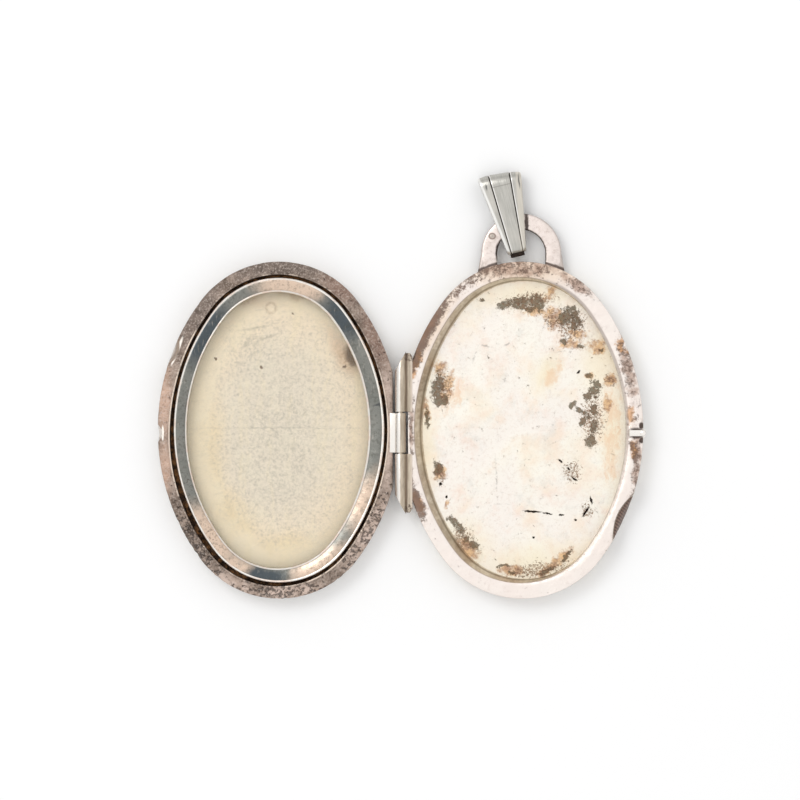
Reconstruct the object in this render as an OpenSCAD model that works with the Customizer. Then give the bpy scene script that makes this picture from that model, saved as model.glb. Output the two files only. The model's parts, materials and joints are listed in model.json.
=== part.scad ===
// Open oval locket with two hinged leaves, a bezel that holds a clear window over a picture card,
// a snap catch, a flat-wire loop and a tapered bail.
//
// The leaves lie open and flat, insides up. The origin is the centre of the back leaf's flat outer
// face. +X runs from the hinge to the back leaf's free edge, +Y towards the bail and +Z up.
// Each leaf is drawn in its own frame, with its hinge at -X, and the front one is mirrored in the hinge.

/* [Case] */
// Width of a leaf, across the hinge
case_w = 24.2; // [20:0.1:30]
// Length of a leaf, along the hinge
case_l = 33.6; // [27:0.1:42]
// Thickness of a leaf, from its outer face to its rim
leaf_t = 2.3; // [1.9:0.05:3]
// Thickness of a shell's floor
floor_t = 0.45; // [0.3:0.05:0.6]
// Thickness of a shell's side wall
wall_t = 0.5; // [0.45:0.05:0.7]
// Reach of the rounded outer edge, in from the side
edge_in = 1.3; // [0.9:0.05:1.3]
// Height of the rounded outer edge, up the side
edge_up = 0.95; // [0.7:0.05:1.2]
// Gap between the two rims when the locket is shut
shut_gap = 0.1; // [0.06:0.02:0.2]

/* [Seat rings] */
// Thickness of a seat ring's band
band_t = 0.35; // [0.25:0.05:0.45]
// Thickness of the collar below the band
collar_t = 0.3; // [0.2:0.05:0.35]
// Width of the back leaf's band
back_band_w = 1.55; // [1.5:0.05:2.2]
// Lean of the back recess wall, from rim to floor
recess_lean = 0.4; // [0.1:0.05:0.6]
// Width of the front leaf's band, from the edge to the bezel
front_band_w = 1.6; // [1.6:0.05:2.2]
// Drop of the front band at its outer edge
band_drop = 0.18; // [0.05:0.01:0.2]
// Width of the raised lip on the front band
lip_w = 0.2; // [0.1:0.05:0.4]
// Height of that lip
lip_h = 0.05; // [0.02:0.01:0.1]
// Width of the groove between the lip and the bezel
groove_w = 0.25; // [0.1:0.05:0.4]

/* [Bezel, window and card] */
// Width of the bezel
bezel_w = 1.45; // [1.2:0.05:2]
// Thickness of the sheet that the bezel is pressed from
bezel_sheet = 0.3; // [0.2:0.05:0.35]
// Height of the bezel's crown above the rim
bezel_proud = 0.26; // [0.1:0.02:0.3]
// Thickness of the clear window
window_t = 0.3; // [0.2:0.05:0.4]
// Thickness of the picture card
card_t = 0.35; // [0.2:0.05:0.4]
// Clearance round the window and the card
card_gap = 0.05; // [0.02:0.01:0.2]

/* [Hinge] */
// Outer diameter of the knuckles
knuckle_d = 1.1; // [0.9:0.05:1.3]
// Diameter of the hinge pin
pin_d = 0.5; // [0.4:0.05:0.6]
// Running clearance round the pin in the centre knuckle
pin_gap = 0.03; // [0.02:0.01:0.06]
// Length of the whole row of knuckles
hinge_l = 16.2; // [14:0.1:18]
// Length of the centre knuckle
centre_l = 3.95; // [3:0.05:6]
// Gap between two knuckles
knuckle_gap = 0.12; // [0.08:0.02:0.3]
// Place of the row's middle along the hinge line
hinge_y = -0.27; // [-0.5:0.01:0.5]
// Depth of the flat filed on each leaf along the hinge
hinge_flat = 0.78; // [0.74:0.02:1]
// Thickness of the webs and the tab that join the knuckles to the leaves
web_t = 0.32; // [0.2:0.02:0.34]
// Drop of the webs and the tab below the rim
web_drop = 0.02; // [0:0.01:0.1]
// Length of the tab that is let into the front seat ring
tab_l = 0.3; // [0.2:0.05:0.45]
// Angle of the slanting outer ends, from the hinge line
end_slant = 30; // [25:1:60]

/* [Catch] */
// Width of the catch nib
nib_w = 0.6; // [0.4:0.05:0.8]
// Length of the nib's bar along the band
nib_l = 1.45; // [1:0.05:1.5]
// Rise of the nib's bar above the rim
nib_rise = 0.03; // [0:0.01:0.05]
// Rise of the nib's stud above the rim
stud_rise = 0.25; // [0.15:0.01:0.35]
// Reach of the stud's middle, short of the edge
stud_in = 0.03; // [0:0.01:0.1]
// Clearance round the nib in its slot
nib_gap = 0.03; // [0.02:0.01:0.05]
// Place of the nib along the edge
nib_y = -0.3; // [-2:0.05:2]
// Width of the notch in the front leaf that the nib snaps into
notch_w = 1.7; // [1.3:0.05:2.4]
// Depth of that notch
notch_d = 0.42; // [0.4:0.01:0.44]

/* [Nail scoops] */
// Length of the front leaf's scoop
front_scoop_l = 2.8; // [2:0.1:5]
// Place of the front leaf's scoop along the edge
front_scoop_y = 7.85; // [5:0.05:10]
// Length of the back leaf's scoop
back_scoop_l = 5.2; // [2:0.1:6]
// Place of the back leaf's scoop along the edge
back_scoop_y = -8.75; // [-10:0.05:-5]
// Depth of both scoops at the rim
scoop_d = 0.5; // [0.4:0.02:0.6]
// Height of the front scoop, down from the rim
front_scoop_h = 1.1; // [0.6:0.05:1.3]
// Height of the back scoop, down from the rim
back_scoop_h = 1.4; // [0.6:0.05:1.6]

/* [Loop and bail] */
// Outer radius of the loop
loop_r = 4; // [3:0.1:5]
// Width of the loop's flat wire
loop_w = 1.6; // [1.2:0.1:2]
// Thickness of the loop
loop_t = 0.75; // [0.5:0.05:0.8]
// Height of the loop's underside
loop_z = 0.7; // [0.65:0.05:0.8]
// Place of the loop's middle beyond the end of the case
loop_up = 0.8; // [0.5:0.05:1.5]
// Place of the loop's middle across the case
loop_x = -0.05; // [-1:0.05:1]
// Spread of each foot of the loop where it is soldered to the case
foot_spread = 0.5; // [0.2:0.05:0.8]
// Length of each foot of the loop, from the middle of its curve into the case
foot_l = 2.2; // [1.8:0.1:2.6]
// Length of the bail
bail_l = 8.1; // [6:0.1:10]
// Width of the bail at its top
bail_top_w = 4.5; // [3:0.1:6]
// Width of the bail at its tail
bail_tail_w = 1.85; // [1.2:0.05:2.5]
// Radius of the bail's top bend
bend_r = 1; // [0.9:0.05:1.05]
// Thickness of the bail's sheet
bail_sheet = 0.3; // [0.2:0.05:0.3]
// Clearance of the loop's wire inside the bail, above and below
bail_gap = 0.075; // [0.05:0.005:0.1]
// Room beside the bail's tail over which it clears the loop's wire
grip_spread = 0.33; // [0.2:0.01:0.5]
// Lean of the bail to the left of straight up
bail_lean = 13.3; // [0:0.1:20]
// Shift of the bail's middle line from the loop's middle
bail_shift = -0.37; // [-0.5:0.01:0.5]

/* [Hidden] */
$fa = 3;
$fs = 0.1;

// Length by which a cutting tool overshoots what it cuts
over = 1;
// Number of steps along a rounded edge
steps = 5;

// The oval is four arcs, two sides and two ends, tangent where they meet. The lines through the
// centres of neighbouring arcs slope 3 in 4, which sets where the centres are.
half_w = round(50 * case_w) / 100;
half_l = round(50 * case_l) / 100;
side_x = 2 * (half_l - half_w);
end_y = 1.5 * (half_l - half_w);
side_r = half_w + side_x;
end_r = half_l - end_y;

// Heights in a leaf
wall_top = leaf_t - band_t;
card_top = floor_t + card_t;
window_top = card_top + window_t;
crown_h = leaf_t + bezel_proud - wall_top;

// How far a filled profile reaches in from the edge, and how far the filling block overlaps it
reach = 0.8 * end_r;
lap = 0.5;

// Hinge
hinge_x = -half_w;
hinge_z = leaf_t + shut_gap / 2;
flat_x = half_w - hinge_flat;
flat_y = sqrt(side_r ^ 2 - (side_r - hinge_flat) ^ 2);
flat_wall_y = flat_y - wall_t / 4;
knuckle_r = knuckle_d / 2;
web_top = leaf_t - web_drop;

// Loop and bail
loop_y = half_l + loop_up;
loop_mid_z = loop_z + loop_t / 2;
bail_tail_y = 0.05;
bend_y = bail_l - bend_r;
grip_y = sqrt((loop_r - loop_w) ^ 2 - (bail_tail_w / 2 + abs(bail_shift) + grip_spread) ^ 2);
grip_h = loop_t / 2 + bail_gap + bail_sheet;
grip_part = (grip_y - bail_tail_y) / (bend_y - bail_tail_y);
tail_h = (grip_h - bend_r * grip_part) / (1 - grip_part);

// ---- Helpers ----

// One arc of the oval: a profile turned about a centre, between two directions
module arc(centre, r, from, to, profile) {
    intersection() {
        translate(centre) rotate_extrude() translate([r, 0]) polygon(profile);
        translate([0, 0, -case_l]) linear_extrude(2 * case_l)
            polygon([centre, centre + case_l * from, centre + case_l * to]);
    }
}

// Sweeps a profile round the oval: x = 0 is the case's edge, and -x is inwards
module oval_sweep(profile) {
    for (turn = [0, 180]) rotate(turn) {
        arc([-side_x, 0], side_r, [4, -3], [4, 3], profile);
        arc([0, end_y], end_r, [4, 3], [-4, 3], profile);
    }
}

// Fills the middle that a swept profile leaves open
module middle(z0, z1) {
    size = [half_w - reach + lap, half_l - reach + lap];
    translate([-size.x, -size.y, z0]) cube([2 * size.x, 2 * size.y, z1 - z0]);
}

// A flat oval plate whose edge is inset from the case's edge
module oval_plate(inset, z0, z1) {
    oval_sweep([[-reach, z0], [-inset, z0], [-inset, z1], [-reach, z1]]);
    middle(z0, z1);
}

// Points of a quarter of an ellipse, from straight below its middle round to its right
function quarter(middle_x, middle_z, rx, rz) =
    [for (i = [0:steps]) let (t = 90 * i / steps) [middle_x + rx * sin(t), middle_z - rz * cos(t)]];

// Points of the upper half of an ellipse, from right to left
function crown(middle_x, base_z, rx, rz) =
    [for (i = [0:2 * steps]) let (t = 90 * i / steps) [middle_x + rx * cos(t), base_z + rz * sin(t)]];

function backwards(points) = [for (i = [len(points) - 1:-1:0]) points[i]];

// A point's mirror image in the hinge line, for the front leaf
module on_front_leaf() {
    translate([2 * hinge_x, 0, 0]) mirror([1, 0, 0]) children();
}

// Everything beyond the flat along the hinge
module hinge_flat_cut() {
    translate([-half_w - over, -half_l, -over]) cube([hinge_flat + over, case_l, leaf_t + 2 * over]);
}

// A cone that cuts a nail scoop in the free edge, deepest at the rim
module scoop_cut(y, length, height) {
    dip = scoop_d - length ^ 2 / (8 * side_r);
    r = ((length / 2) ^ 2 + dip ^ 2) / (2 * dip);
    ang = asin(y / side_r);
    slope = scoop_d / height;
    translate([-side_x, 0, 0]) rotate(ang) translate([side_r + r - scoop_d, 0, leaf_t - height])
        cylinder(h = height + over, r1 = r - scoop_d, r2 = r + slope * over);
}

// The notch in the front leaf's free edge for the catch nib
module notch_cut() {
    r = ((notch_w / 2) ^ 2 + notch_d ^ 2) / (2 * notch_d);
    translate([half_w + r - notch_d, nib_y, -over]) cylinder(h = leaf_t + 2 * over, r = r);
}

// The slot in the back seat ring that holds the nib's bar
module nib_slot_cut() {
    width = nib_w + 2 * nib_gap;
    translate([half_w - nib_l - nib_gap, nib_y - width / 2, wall_top])
        cube([nib_l + over, width, band_t + over]);
}

// The slot in the front seat ring that holds the centre knuckle's tab
module tab_slot_cut() {
    translate([-flat_x - over, hinge_y - centre_l / 2, wall_top])
        cube([tab_l + over, centre_l, band_t + over]);
}

// ---- Leaves ----

// A pressed tray with a rounded outer edge and a flat wall along the hinge
module shell() {
    outer = quarter(-edge_in, edge_up, edge_in, edge_up);
    inner = quarter(-edge_in, edge_up, edge_in - wall_t, edge_up - floor_t);
    difference() {
        oval_sweep(concat([[-reach, 0]], outer, [[0, wall_top], [-wall_t, wall_top]],
                          backwards(inner), [[-reach, floor_t]]));
        hinge_flat_cut();
    }
    middle(0, floor_t);
    translate([-flat_x, -flat_wall_y, floor_t / 2])
        cube([wall_t, 2 * flat_wall_y, wall_top - floor_t / 2]);
}

module back_cover() {
    color("silver") difference() {
        shell();
        scoop_cut(back_scoop_y, back_scoop_l, back_scoop_h);
    }
}

module front_cover() {
    color("gainsboro") on_front_leaf() difference() {
        shell();
        scoop_cut(front_scoop_y, front_scoop_l, front_scoop_h);
        notch_cut();
    }
}

// The flat band round the back recess, with the recess's leaning wall
module back_seat_ring() {
    lean_at_band = recess_lean * band_t / (leaf_t - floor_t);
    color("mistyrose") difference() {
        oval_sweep([[0, wall_top], [0, leaf_t], [-back_band_w, leaf_t],
                    [-back_band_w - recess_lean, floor_t],
                    [collar_t - back_band_w - recess_lean, floor_t],
                    [collar_t - back_band_w - lean_at_band, wall_top]]);
        hinge_flat_cut();
        scoop_cut(back_scoop_y, back_scoop_l, back_scoop_h);
        nib_slot_cut();
    }
}

// The sloping band of the front leaf, with its lip and the collar that grips the bezel
module front_seat_ring() {
    lip_in = front_band_w - groove_w;
    lip_out = lip_in - lip_w;
    color("tan") on_front_leaf() difference() {
        oval_sweep([[0, wall_top], [0, leaf_t - band_drop], [-lip_out, leaf_t - lip_h],
                    [-lip_out, leaf_t], [-lip_in, leaf_t], [-front_band_w, wall_top],
                    [-front_band_w, floor_t], [collar_t - front_band_w, floor_t],
                    [collar_t - front_band_w, wall_top]]);
        hinge_flat_cut();
        scoop_cut(front_scoop_y, front_scoop_l, front_scoop_h);
        notch_cut();
        tab_slot_cut();
    }
}

// A hollow half-round ring that presses the window and the card on the floor
module retaining_bezel() {
    middle_x = -front_band_w - bezel_w / 2;
    outer = crown(middle_x, wall_top, bezel_w / 2, crown_h);
    inner = crown(middle_x, wall_top, bezel_w / 2 - bezel_sheet, crown_h - bezel_sheet);
    foot_out = middle_x + bezel_w / 2;
    foot_in = middle_x - bezel_w / 2;
    color("lightsteelblue") on_front_leaf()
        oval_sweep(concat([[foot_out, window_top]], outer,
                          [[foot_in, window_top], [foot_in + bezel_sheet, window_top]],
                          backwards(inner), [[foot_out - bezel_sheet, window_top]]));
}

module window() {
    color("lightyellow", 0.4) on_front_leaf() oval_plate(front_band_w + card_gap, card_top, window_top);
}

module picture_card() {
    color("antiquewhite") on_front_leaf() oval_plate(front_band_w + card_gap, floor_t, card_top);
}

// ---- Hinge ----

// A rod along the hinge line, between two places along it
module hinge_rod(r, y0, y1) {
    translate([hinge_x, y1, hinge_z]) rotate([90, 0, 0]) cylinder(h = y1 - y0, r = r);
}

// What is cut off the row of knuckles at its upper end (side = 1) or lower end (side = -1)
module end_slant_cut(side) {
    tip_y = hinge_y + side * hinge_l / 2;
    translate([hinge_x + knuckle_r, tip_y, hinge_z]) scale([1, side, 1]) rotate(-end_slant)
        translate([-hinge_l, -hinge_l / 2, -over]) cube([hinge_l, hinge_l, 2 * over]);
}

// A knuckle of the back leaf: a short tube with a web to the flat wall
module outer_knuckle(side) {
    from_y = hinge_y + side * (centre_l / 2 + knuckle_gap);
    to_y = hinge_y + side * hinge_l / 2;
    web_end = side * min(flat_wall_y, abs(to_y));
    difference() {
        union() {
            hinge_rod(knuckle_r, min(from_y, to_y), max(from_y, to_y));
            translate([hinge_x, min(from_y, web_end), web_top - web_t])
                cube([half_w - flat_x, abs(web_end - from_y), web_t]);
        }
        hinge_rod(pin_d / 2, min(from_y, to_y) - over, max(from_y, to_y) + over);
        end_slant_cut(side);
    }
}

module knuckle_upper() {
    color("linen") outer_knuckle(1);
}

module knuckle_lower() {
    color("linen") outer_knuckle(-1);
}

// The front leaf's knuckle, with a flat tab let into the seat ring
module knuckle_centre() {
    y0 = hinge_y - centre_l / 2;
    color("ivory") difference() {
        union() {
            hinge_rod(knuckle_r, y0, y0 + centre_l);
            translate([hinge_x - hinge_flat - tab_l, y0, wall_top])
                cube([hinge_flat + tab_l, centre_l, web_top - wall_top]);
        }
        hinge_rod(pin_d / 2 + pin_gap, y0 - over, y0 + centre_l + over);
    }
}

module hinge_pin() {
    color("darkgray") difference() {
        hinge_rod(pin_d / 2, hinge_y - hinge_l / 2, hinge_y + hinge_l / 2);
        end_slant_cut(1);
        end_slant_cut(-1);
    }
}

// ---- Catch ----

// A half-round bar let into the band, ending in a stud that stands out over the edge
module catch_nib() {
    r = nib_w / 2;
    axis_z = leaf_t + nib_rise - r;
    color("snow") {
        intersection() {
            translate([half_w - nib_l, nib_y, axis_z]) rotate([0, 90, 0]) cylinder(h = nib_l, r = r);
            translate([0, nib_y - r, wall_top]) cube([half_w, nib_w, leaf_t]);
        }
        translate([half_w - nib_l, nib_y - r, wall_top]) cube([nib_l - stud_in, nib_w, axis_z - wall_top]);
        translate([half_w - stud_in, nib_y, wall_top]) cylinder(h = band_t + stud_rise, r = r);
    }
}

// ---- Loop and bail ----

// A flat half ring with two spread feet, its ends fitted to the wall of the back leaf
module bail_loop() {
    color("seashell") difference() {
        translate([loop_x, loop_y, loop_z]) {
            difference() {
                cylinder(h = loop_t, r = loop_r);
                translate([0, 0, -over]) cylinder(h = loop_t + 2 * over, r = loop_r - loop_w);
                translate([-case_w, -case_l, -over]) cube([2 * case_w, case_l, loop_t + 2 * over]);
            }
            for (side = [0, 1]) mirror([side, 0, 0]) linear_extrude(loop_t)
                polygon([[loop_r - loop_w, 0], [loop_r, 0], [loop_r + foot_spread, -foot_l],
                         [loop_r - loop_w, -foot_l]]);
        }
        oval_plate(0, -over, leaf_t);
    }
}

// A strip folded round the loop's wire, in its own frame: x across, y along and z through
module bail_blank() {
    side_view = [[bail_tail_y, -tail_h], [bend_y, -bend_r], [bend_y, bend_r], [bail_tail_y, tail_h]];
    inner_view = [[bail_tail_y + bail_sheet, bail_sheet - tail_h], [bend_y, bail_sheet - bend_r],
                  [bend_y, bend_r - bail_sheet], [bail_tail_y + bail_sheet, tail_h - bail_sheet]];
    rotate([90, 0, 90]) translate([0, 0, -bail_top_w]) difference() {
        union() {
            linear_extrude(2 * bail_top_w) polygon(side_view);
            translate([bend_y, 0, 0]) cylinder(h = 2 * bail_top_w, r = bend_r);
        }
        translate([0, 0, -over]) linear_extrude(2 * bail_top_w + 2 * over) polygon(inner_view);
        translate([bend_y, 0, -over])
            cylinder(h = 2 * bail_top_w + 2 * over, r = bend_r - bail_sheet);
    }
}

module bail() {
    color("lightgray") translate([loop_x, loop_y, loop_mid_z]) rotate(bail_lean)
        translate([bail_shift, 0, 0]) intersection() {
            bail_blank();
            translate([0, 0, -2 * bend_r]) linear_extrude(4 * bend_r)
                polygon([[-bail_tail_w / 2, bail_tail_y], [bail_tail_w / 2, bail_tail_y],
                         [bail_top_w / 2, bail_l], [-bail_top_w / 2, bail_l]]);
        }
}

back_cover();
back_seat_ring();
knuckle_upper();
knuckle_lower();
hinge_pin();
catch_nib();
bail_loop();
front_cover();
front_seat_ring();
knuckle_centre();
retaining_bezel();
window();
picture_card();
bail();
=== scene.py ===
"""Builds an open oval locket, worn and tarnished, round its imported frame."""

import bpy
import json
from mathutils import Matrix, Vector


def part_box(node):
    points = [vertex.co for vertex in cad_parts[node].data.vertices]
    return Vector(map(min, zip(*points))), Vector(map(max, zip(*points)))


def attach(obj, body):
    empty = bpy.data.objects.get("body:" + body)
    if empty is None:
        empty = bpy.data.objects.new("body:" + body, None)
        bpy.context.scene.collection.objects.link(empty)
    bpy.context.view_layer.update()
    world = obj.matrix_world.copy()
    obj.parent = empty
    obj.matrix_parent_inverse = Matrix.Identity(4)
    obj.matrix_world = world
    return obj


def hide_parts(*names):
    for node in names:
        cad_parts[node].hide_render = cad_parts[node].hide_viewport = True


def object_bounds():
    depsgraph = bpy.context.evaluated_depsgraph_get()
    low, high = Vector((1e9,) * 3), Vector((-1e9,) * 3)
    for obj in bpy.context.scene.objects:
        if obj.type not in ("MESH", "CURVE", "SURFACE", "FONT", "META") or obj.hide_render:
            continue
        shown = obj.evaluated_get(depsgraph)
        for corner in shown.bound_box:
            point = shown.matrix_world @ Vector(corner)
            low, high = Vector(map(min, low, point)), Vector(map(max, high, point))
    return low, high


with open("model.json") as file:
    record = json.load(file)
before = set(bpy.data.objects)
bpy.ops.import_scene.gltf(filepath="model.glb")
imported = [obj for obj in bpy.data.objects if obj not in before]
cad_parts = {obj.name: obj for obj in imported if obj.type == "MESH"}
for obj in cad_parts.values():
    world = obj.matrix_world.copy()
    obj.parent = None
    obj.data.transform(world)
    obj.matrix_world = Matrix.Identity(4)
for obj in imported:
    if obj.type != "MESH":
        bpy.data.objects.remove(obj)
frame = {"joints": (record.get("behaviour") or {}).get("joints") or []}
CAD_BOX = [list(corner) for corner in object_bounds()]

import json
import math

import bmesh
import bpy
from mathutils import Matrix, Vector, noise

bl_info = {
    "name": "Oval Locket",
    "version": (1, 0, 0),
    "blender": (4, 5, 0),
    "location": "3D View > Sidebar > Locket",
    "description": "Models a worn oval locket round its frame",
    "category": "Add Mesh",
}

# Meshes are modelled in millimetres and scaled to metres when they are finished
MM = 0.001
UP = Vector((0, 0, 1))


# ---- Places and sizes that come from the frame ----

def box_mm(node):
    """Lowest and highest corners of a frame node, in millimetres."""
    return [Vector(corner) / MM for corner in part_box(node)]


def joint_place(name):
    """Place of a joint, in millimetres."""
    joint = next(j for j in frame["joints"] if j["name"] == name)
    return Vector(joint["pos_m"]) / MM


HALF_W = box_mm("back_cover")[1].x
HALF_L = box_mm("back_cover")[1].y
WALL_TOP = box_mm("back_cover")[1].z
FLAT_X = -box_mm("back_cover")[0].x
RIM = box_mm("back_seat_ring")[1].z
FLOOR = box_mm("back_seat_ring")[0].z
CARD_TOP = box_mm("picture_card")[1].z
WINDOW_TOP = box_mm("window")[1].z
CROWN = box_mm("retaining_bezel")[1].z
HINGE = joint_place("cover_hinge")
LOOP = joint_place("bail_swing")
FRONT_X = 2 * HINGE.x

# The oval is four arcs whose centres lie on lines that slope 3 in 4
SIDE_X = 2 * (HALF_L - HALF_W)
END_Y = 1.5 * (HALF_L - HALF_W)
SIDE_R = HALF_W + SIDE_X
END_R = HALF_L - END_Y
SIDE_TURN = math.atan2(3, 4)


# Where the two thumb scoops and the catch's notch lie along the free edges
BACK_SCOOP_Y = -8.75
FRONT_SCOOP_Y = 7.85
NOTCH = {"y": -0.3, "width": 1.7, "depth": 0.42}
# A band is cut deeper than the cover below it, so that the cover shows as a step
COVER_CUT = 0.5
BACK_BAND_CUT = 0.8
FRONT_BAND_CUT = 0.65


def inset_of(x, y):
    """Distance of a point in from the edge of a leaf's oval."""
    x, y = abs(x), abs(y)
    if 4 * (y - END_Y) > 3 * x:
        return END_R - math.hypot(x, y - END_Y)
    return SIDE_R - math.hypot(x + SIDE_X, y)


def edge_x(y):
    """Half width of the oval at a place along it, on its side arcs."""
    return math.sqrt(SIDE_R ** 2 - y ** 2) - SIDE_X


# ---- Settings that a user would change ----

def millimetres(name, description, value):
    """A size property in millimetres."""
    return bpy.props.FloatProperty(name=name, description=description + ", in mm", default=value)


class LeafSizes(bpy.types.PropertyGroup):
    back_band: millimetres("Back band", "Width of the back leaf's flat band", 1.55)
    front_band: millimetres("Front band", "Width of the front leaf's band up to the bezel", 1.6)
    lip: millimetres("Lip", "Width of the bright lip on the front band", 0.2)
    groove: millimetres("Groove", "Width of the dark groove round the bezel", 0.26)
    recess_lean: millimetres("Recess lean", "Lean of the back recess wall from rim to floor", 0.4)
    edge_wear: millimetres("Edge wear", "Depth of the nicks along the front leaf's edge", 0.14)
    floor_wave: millimetres("Floor wave", "Height of the waves in the pressed floors", 0.03)
    step: millimetres("Step", "Length of one mesh step round the oval", 0.2)


class BezelSizes(bpy.types.PropertyGroup):
    width: millimetres("Width", "Width of the bezel", 1.45)
    bead: millimetres("Bead", "Width of the bright bead along the bezel's inner edge", 0.22)
    slope: millimetres("Slope", "Fall of the bezel's face towards the window", 0.17)
    crown: millimetres("Crown", "Height of the bezel's face above a straight slope", 0.035)
    window_dome: millimetres("Window dome", "Rise of the window's middle", 0.22)


class HingeSizes(bpy.types.PropertyGroup):
    radius: millimetres("Radius", "Outer radius of the knuckles", 0.55)
    slant: bpy.props.FloatProperty(
        name="Slant", description="Angle of the slanting outer ends", subtype="ANGLE",
        default=math.radians(30))
    flange_reach: millimetres("Flange reach", "Reach of the flanges over the back band", 0.42)


class BailSizes(bpy.types.PropertyGroup):
    length: millimetres("Length", "Length of the bail", 8.1)
    top_width: millimetres("Top width", "Width of the bail at its bend", 4.5)
    tail_width: millimetres("Tail width", "Width of the bail at its tail", 1.85)
    bend: millimetres("Bend", "Radius of the bail's bend", 1.0)
    sheet: millimetres("Sheet", "Thickness of the bail's sheet", 0.28)
    groove: millimetres("Groove", "Depth of the two V grooves", 0.13)
    tail_groove: millimetres("Groove at the tail", "Distance of a groove from the middle line at the tail", 0.58)
    top_groove: millimetres("Groove at the top", "Distance of a groove from the middle line at the bend", 1.05)
    lean: bpy.props.FloatProperty(
        name="Lean", description="Lean of the bail to the left", subtype="ANGLE",
        default=math.radians(13.3))
    shift: millimetres("Shift", "Shift of the bail's middle line from the loop's middle", -0.37)
    loop_radius: millimetres("Loop radius", "Outer radius of the loop", 4.0)
    loop_wire: millimetres("Loop wire", "Width of the loop's flat wire", 1.6)


def colour(name, description, value):
    """A colour property."""
    return bpy.props.FloatVectorProperty(
        name=name, description=description, subtype="COLOR", size=3, min=0, max=1, default=value)


class Finishes(bpy.types.PropertyGroup):
    silver: colour("Silver", "Clean frosted silver", (0.885, 0.83, 0.77))
    bright: colour("Bright silver", "Rubbed and polished silver", (0.90, 0.87, 0.82))
    grey: colour("Grey silver", "Neutral silver of the bail", (0.43, 0.42, 0.385))
    # Also the colour of the painted shade block under the bail's tail
    soot_and_shade: colour("Soot", "Near-black dirt in grooves", (0.012, 0.007, 0.005))
    olive: colour("Olive", "Olive-grey middles of the stains", (0.17, 0.15, 0.095))
    cream: colour("Cream", "Faint yellow bloom", (0.86, 0.74, 0.50))
    paper: colour("Paper", "Aged paper", (0.93, 0.785, 0.60))
    paper_edge: colour("Paper edge", "Yellowed edge of the paper", (0.80, 0.60, 0.36))
    film: colour("Film", "Yellowed clear plastic", (0.80, 0.72, 0.50))


class StageSizes(bpy.types.PropertyGroup):
    view_width: bpy.props.FloatProperty(
        name="View width", description="Width that the camera sees on the floor",
        unit="LENGTH", default=0.08)
    view_height: bpy.props.FloatProperty(
        name="View height", description="Height of the camera above the floor",
        unit="LENGTH", default=0.62)
    key: bpy.props.FloatProperty(
        name="Key light", description="Power of the soft light at the upper left", unit="POWER",
        default=0.95)


# ---- Mesh helpers ----

# Sizes of the rings that a floor is made of, as shares of its edge, and of the last, before it closes in a point
RINGS = tuple(1 - i / 22 for i in range(1, 22))
NEARLY_NOTHING = 0.0001


def finish_mesh(bm, name, material, body, replaces=(), sharp=38, more=()):
    """Turns a bmesh in millimetres into a finished piece that rides on a body."""
    bmesh.ops.remove_doubles(bm, verts=bm.verts, dist=0.0004)
    bmesh.ops.dissolve_degenerate(bm, edges=bm.edges, dist=0.0002)
    bmesh.ops.recalc_face_normals(bm, faces=bm.faces)
    limit = math.radians(sharp)
    for edge in bm.edges:
        edge.smooth = len(edge.link_faces) == 2 and edge.calc_face_angle(0) < limit
    for face in bm.faces:
        face.smooth = True
    bmesh.ops.scale(bm, vec=(MM, MM, MM), verts=bm.verts)
    mesh = bpy.data.meshes.new(name)
    bm.to_mesh(mesh)
    bm.free()
    piece = bpy.data.objects.new(name, mesh)
    bpy.context.scene.collection.objects.link(piece)
    for each in (material, *more):
        mesh.materials.append(each)
    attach(piece, body)
    if replaces:
        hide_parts(*replaces)
    return piece


def soften(points, radius, closed=True, cuts=3):
    """Rounds the corners of a profile, each with a short curve."""
    result = []
    count = len(points)
    for i, point in enumerate(points):
        here = Vector(point)
        if not closed and i in (0, count - 1):
            result.append(here)
            continue
        before = Vector(points[i - 1]) - here
        after = Vector(points[(i + 1) % count]) - here
        start = here + before.normalized() * min(radius, before.length / 2.2)
        end = here + after.normalized() * min(radius, after.length / 2.2)
        for k in range(cuts + 1):
            t = k / cuts
            result.append(start * (1 - t) ** 2 + here * 2 * t * (1 - t) + end * t ** 2)
    return result


def oval_sweep(bm, profile, step, closed=True):
    """Spins a profile of (inset, height) points round the four arcs of the oval."""
    start = Matrix.Rotation(-SIDE_TURN, 3, "Z") @ Vector((1, 0, 0))
    centre = Vector((-SIDE_X, 0, 0))
    verts = [bm.verts.new(centre + start * (SIDE_R - inset) + UP * z) for inset, z in profile]
    last = len(verts) if closed else len(verts) - 1
    edges = [bm.edges.new((verts[i], verts[(i + 1) % len(verts)])) for i in range(last)]
    geom = verts + edges
    side, end = 2 * SIDE_TURN, math.pi - 2 * SIDE_TURN
    arcs = ((Vector((-SIDE_X, 0, 0)), side, SIDE_R), (Vector((0, END_Y, 0)), end, END_R),
            (Vector((SIDE_X, 0, 0)), side, SIDE_R), (Vector((0, -END_Y, 0)), end, END_R))
    for middle, turn, radius in arcs:
        spun = bmesh.ops.spin(bm, geom=geom, cent=middle, axis=UP, angle=turn,
                              steps=round(radius * turn / step), use_duplicate=False)
        geom = spun["geom_last"]
    bmesh.ops.remove_doubles(bm, verts=bm.verts, dist=0.0005)


def close_floor(bm):
    """Fills each open oval edge with shrinking rings that meet in a point."""
    for loop in open_loops(bm):
        height = loop[0].verts[0].co.z
        previous = 1
        for size in (*RINGS, NEARLY_NOTHING):
            grown = bmesh.ops.extrude_edge_only(bm, edges=loop)["geom"]
            verts = [v for v in grown if isinstance(v, bmesh.types.BMVert)]
            loop = [e for e in grown if isinstance(e, bmesh.types.BMEdge)]
            factor = size / previous
            bmesh.ops.scale(bm, vec=(factor, factor, 1), verts=verts)
            previous = size
        bmesh.ops.pointmerge(bm, verts=verts, merge_co=(0, 0, height))


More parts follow.
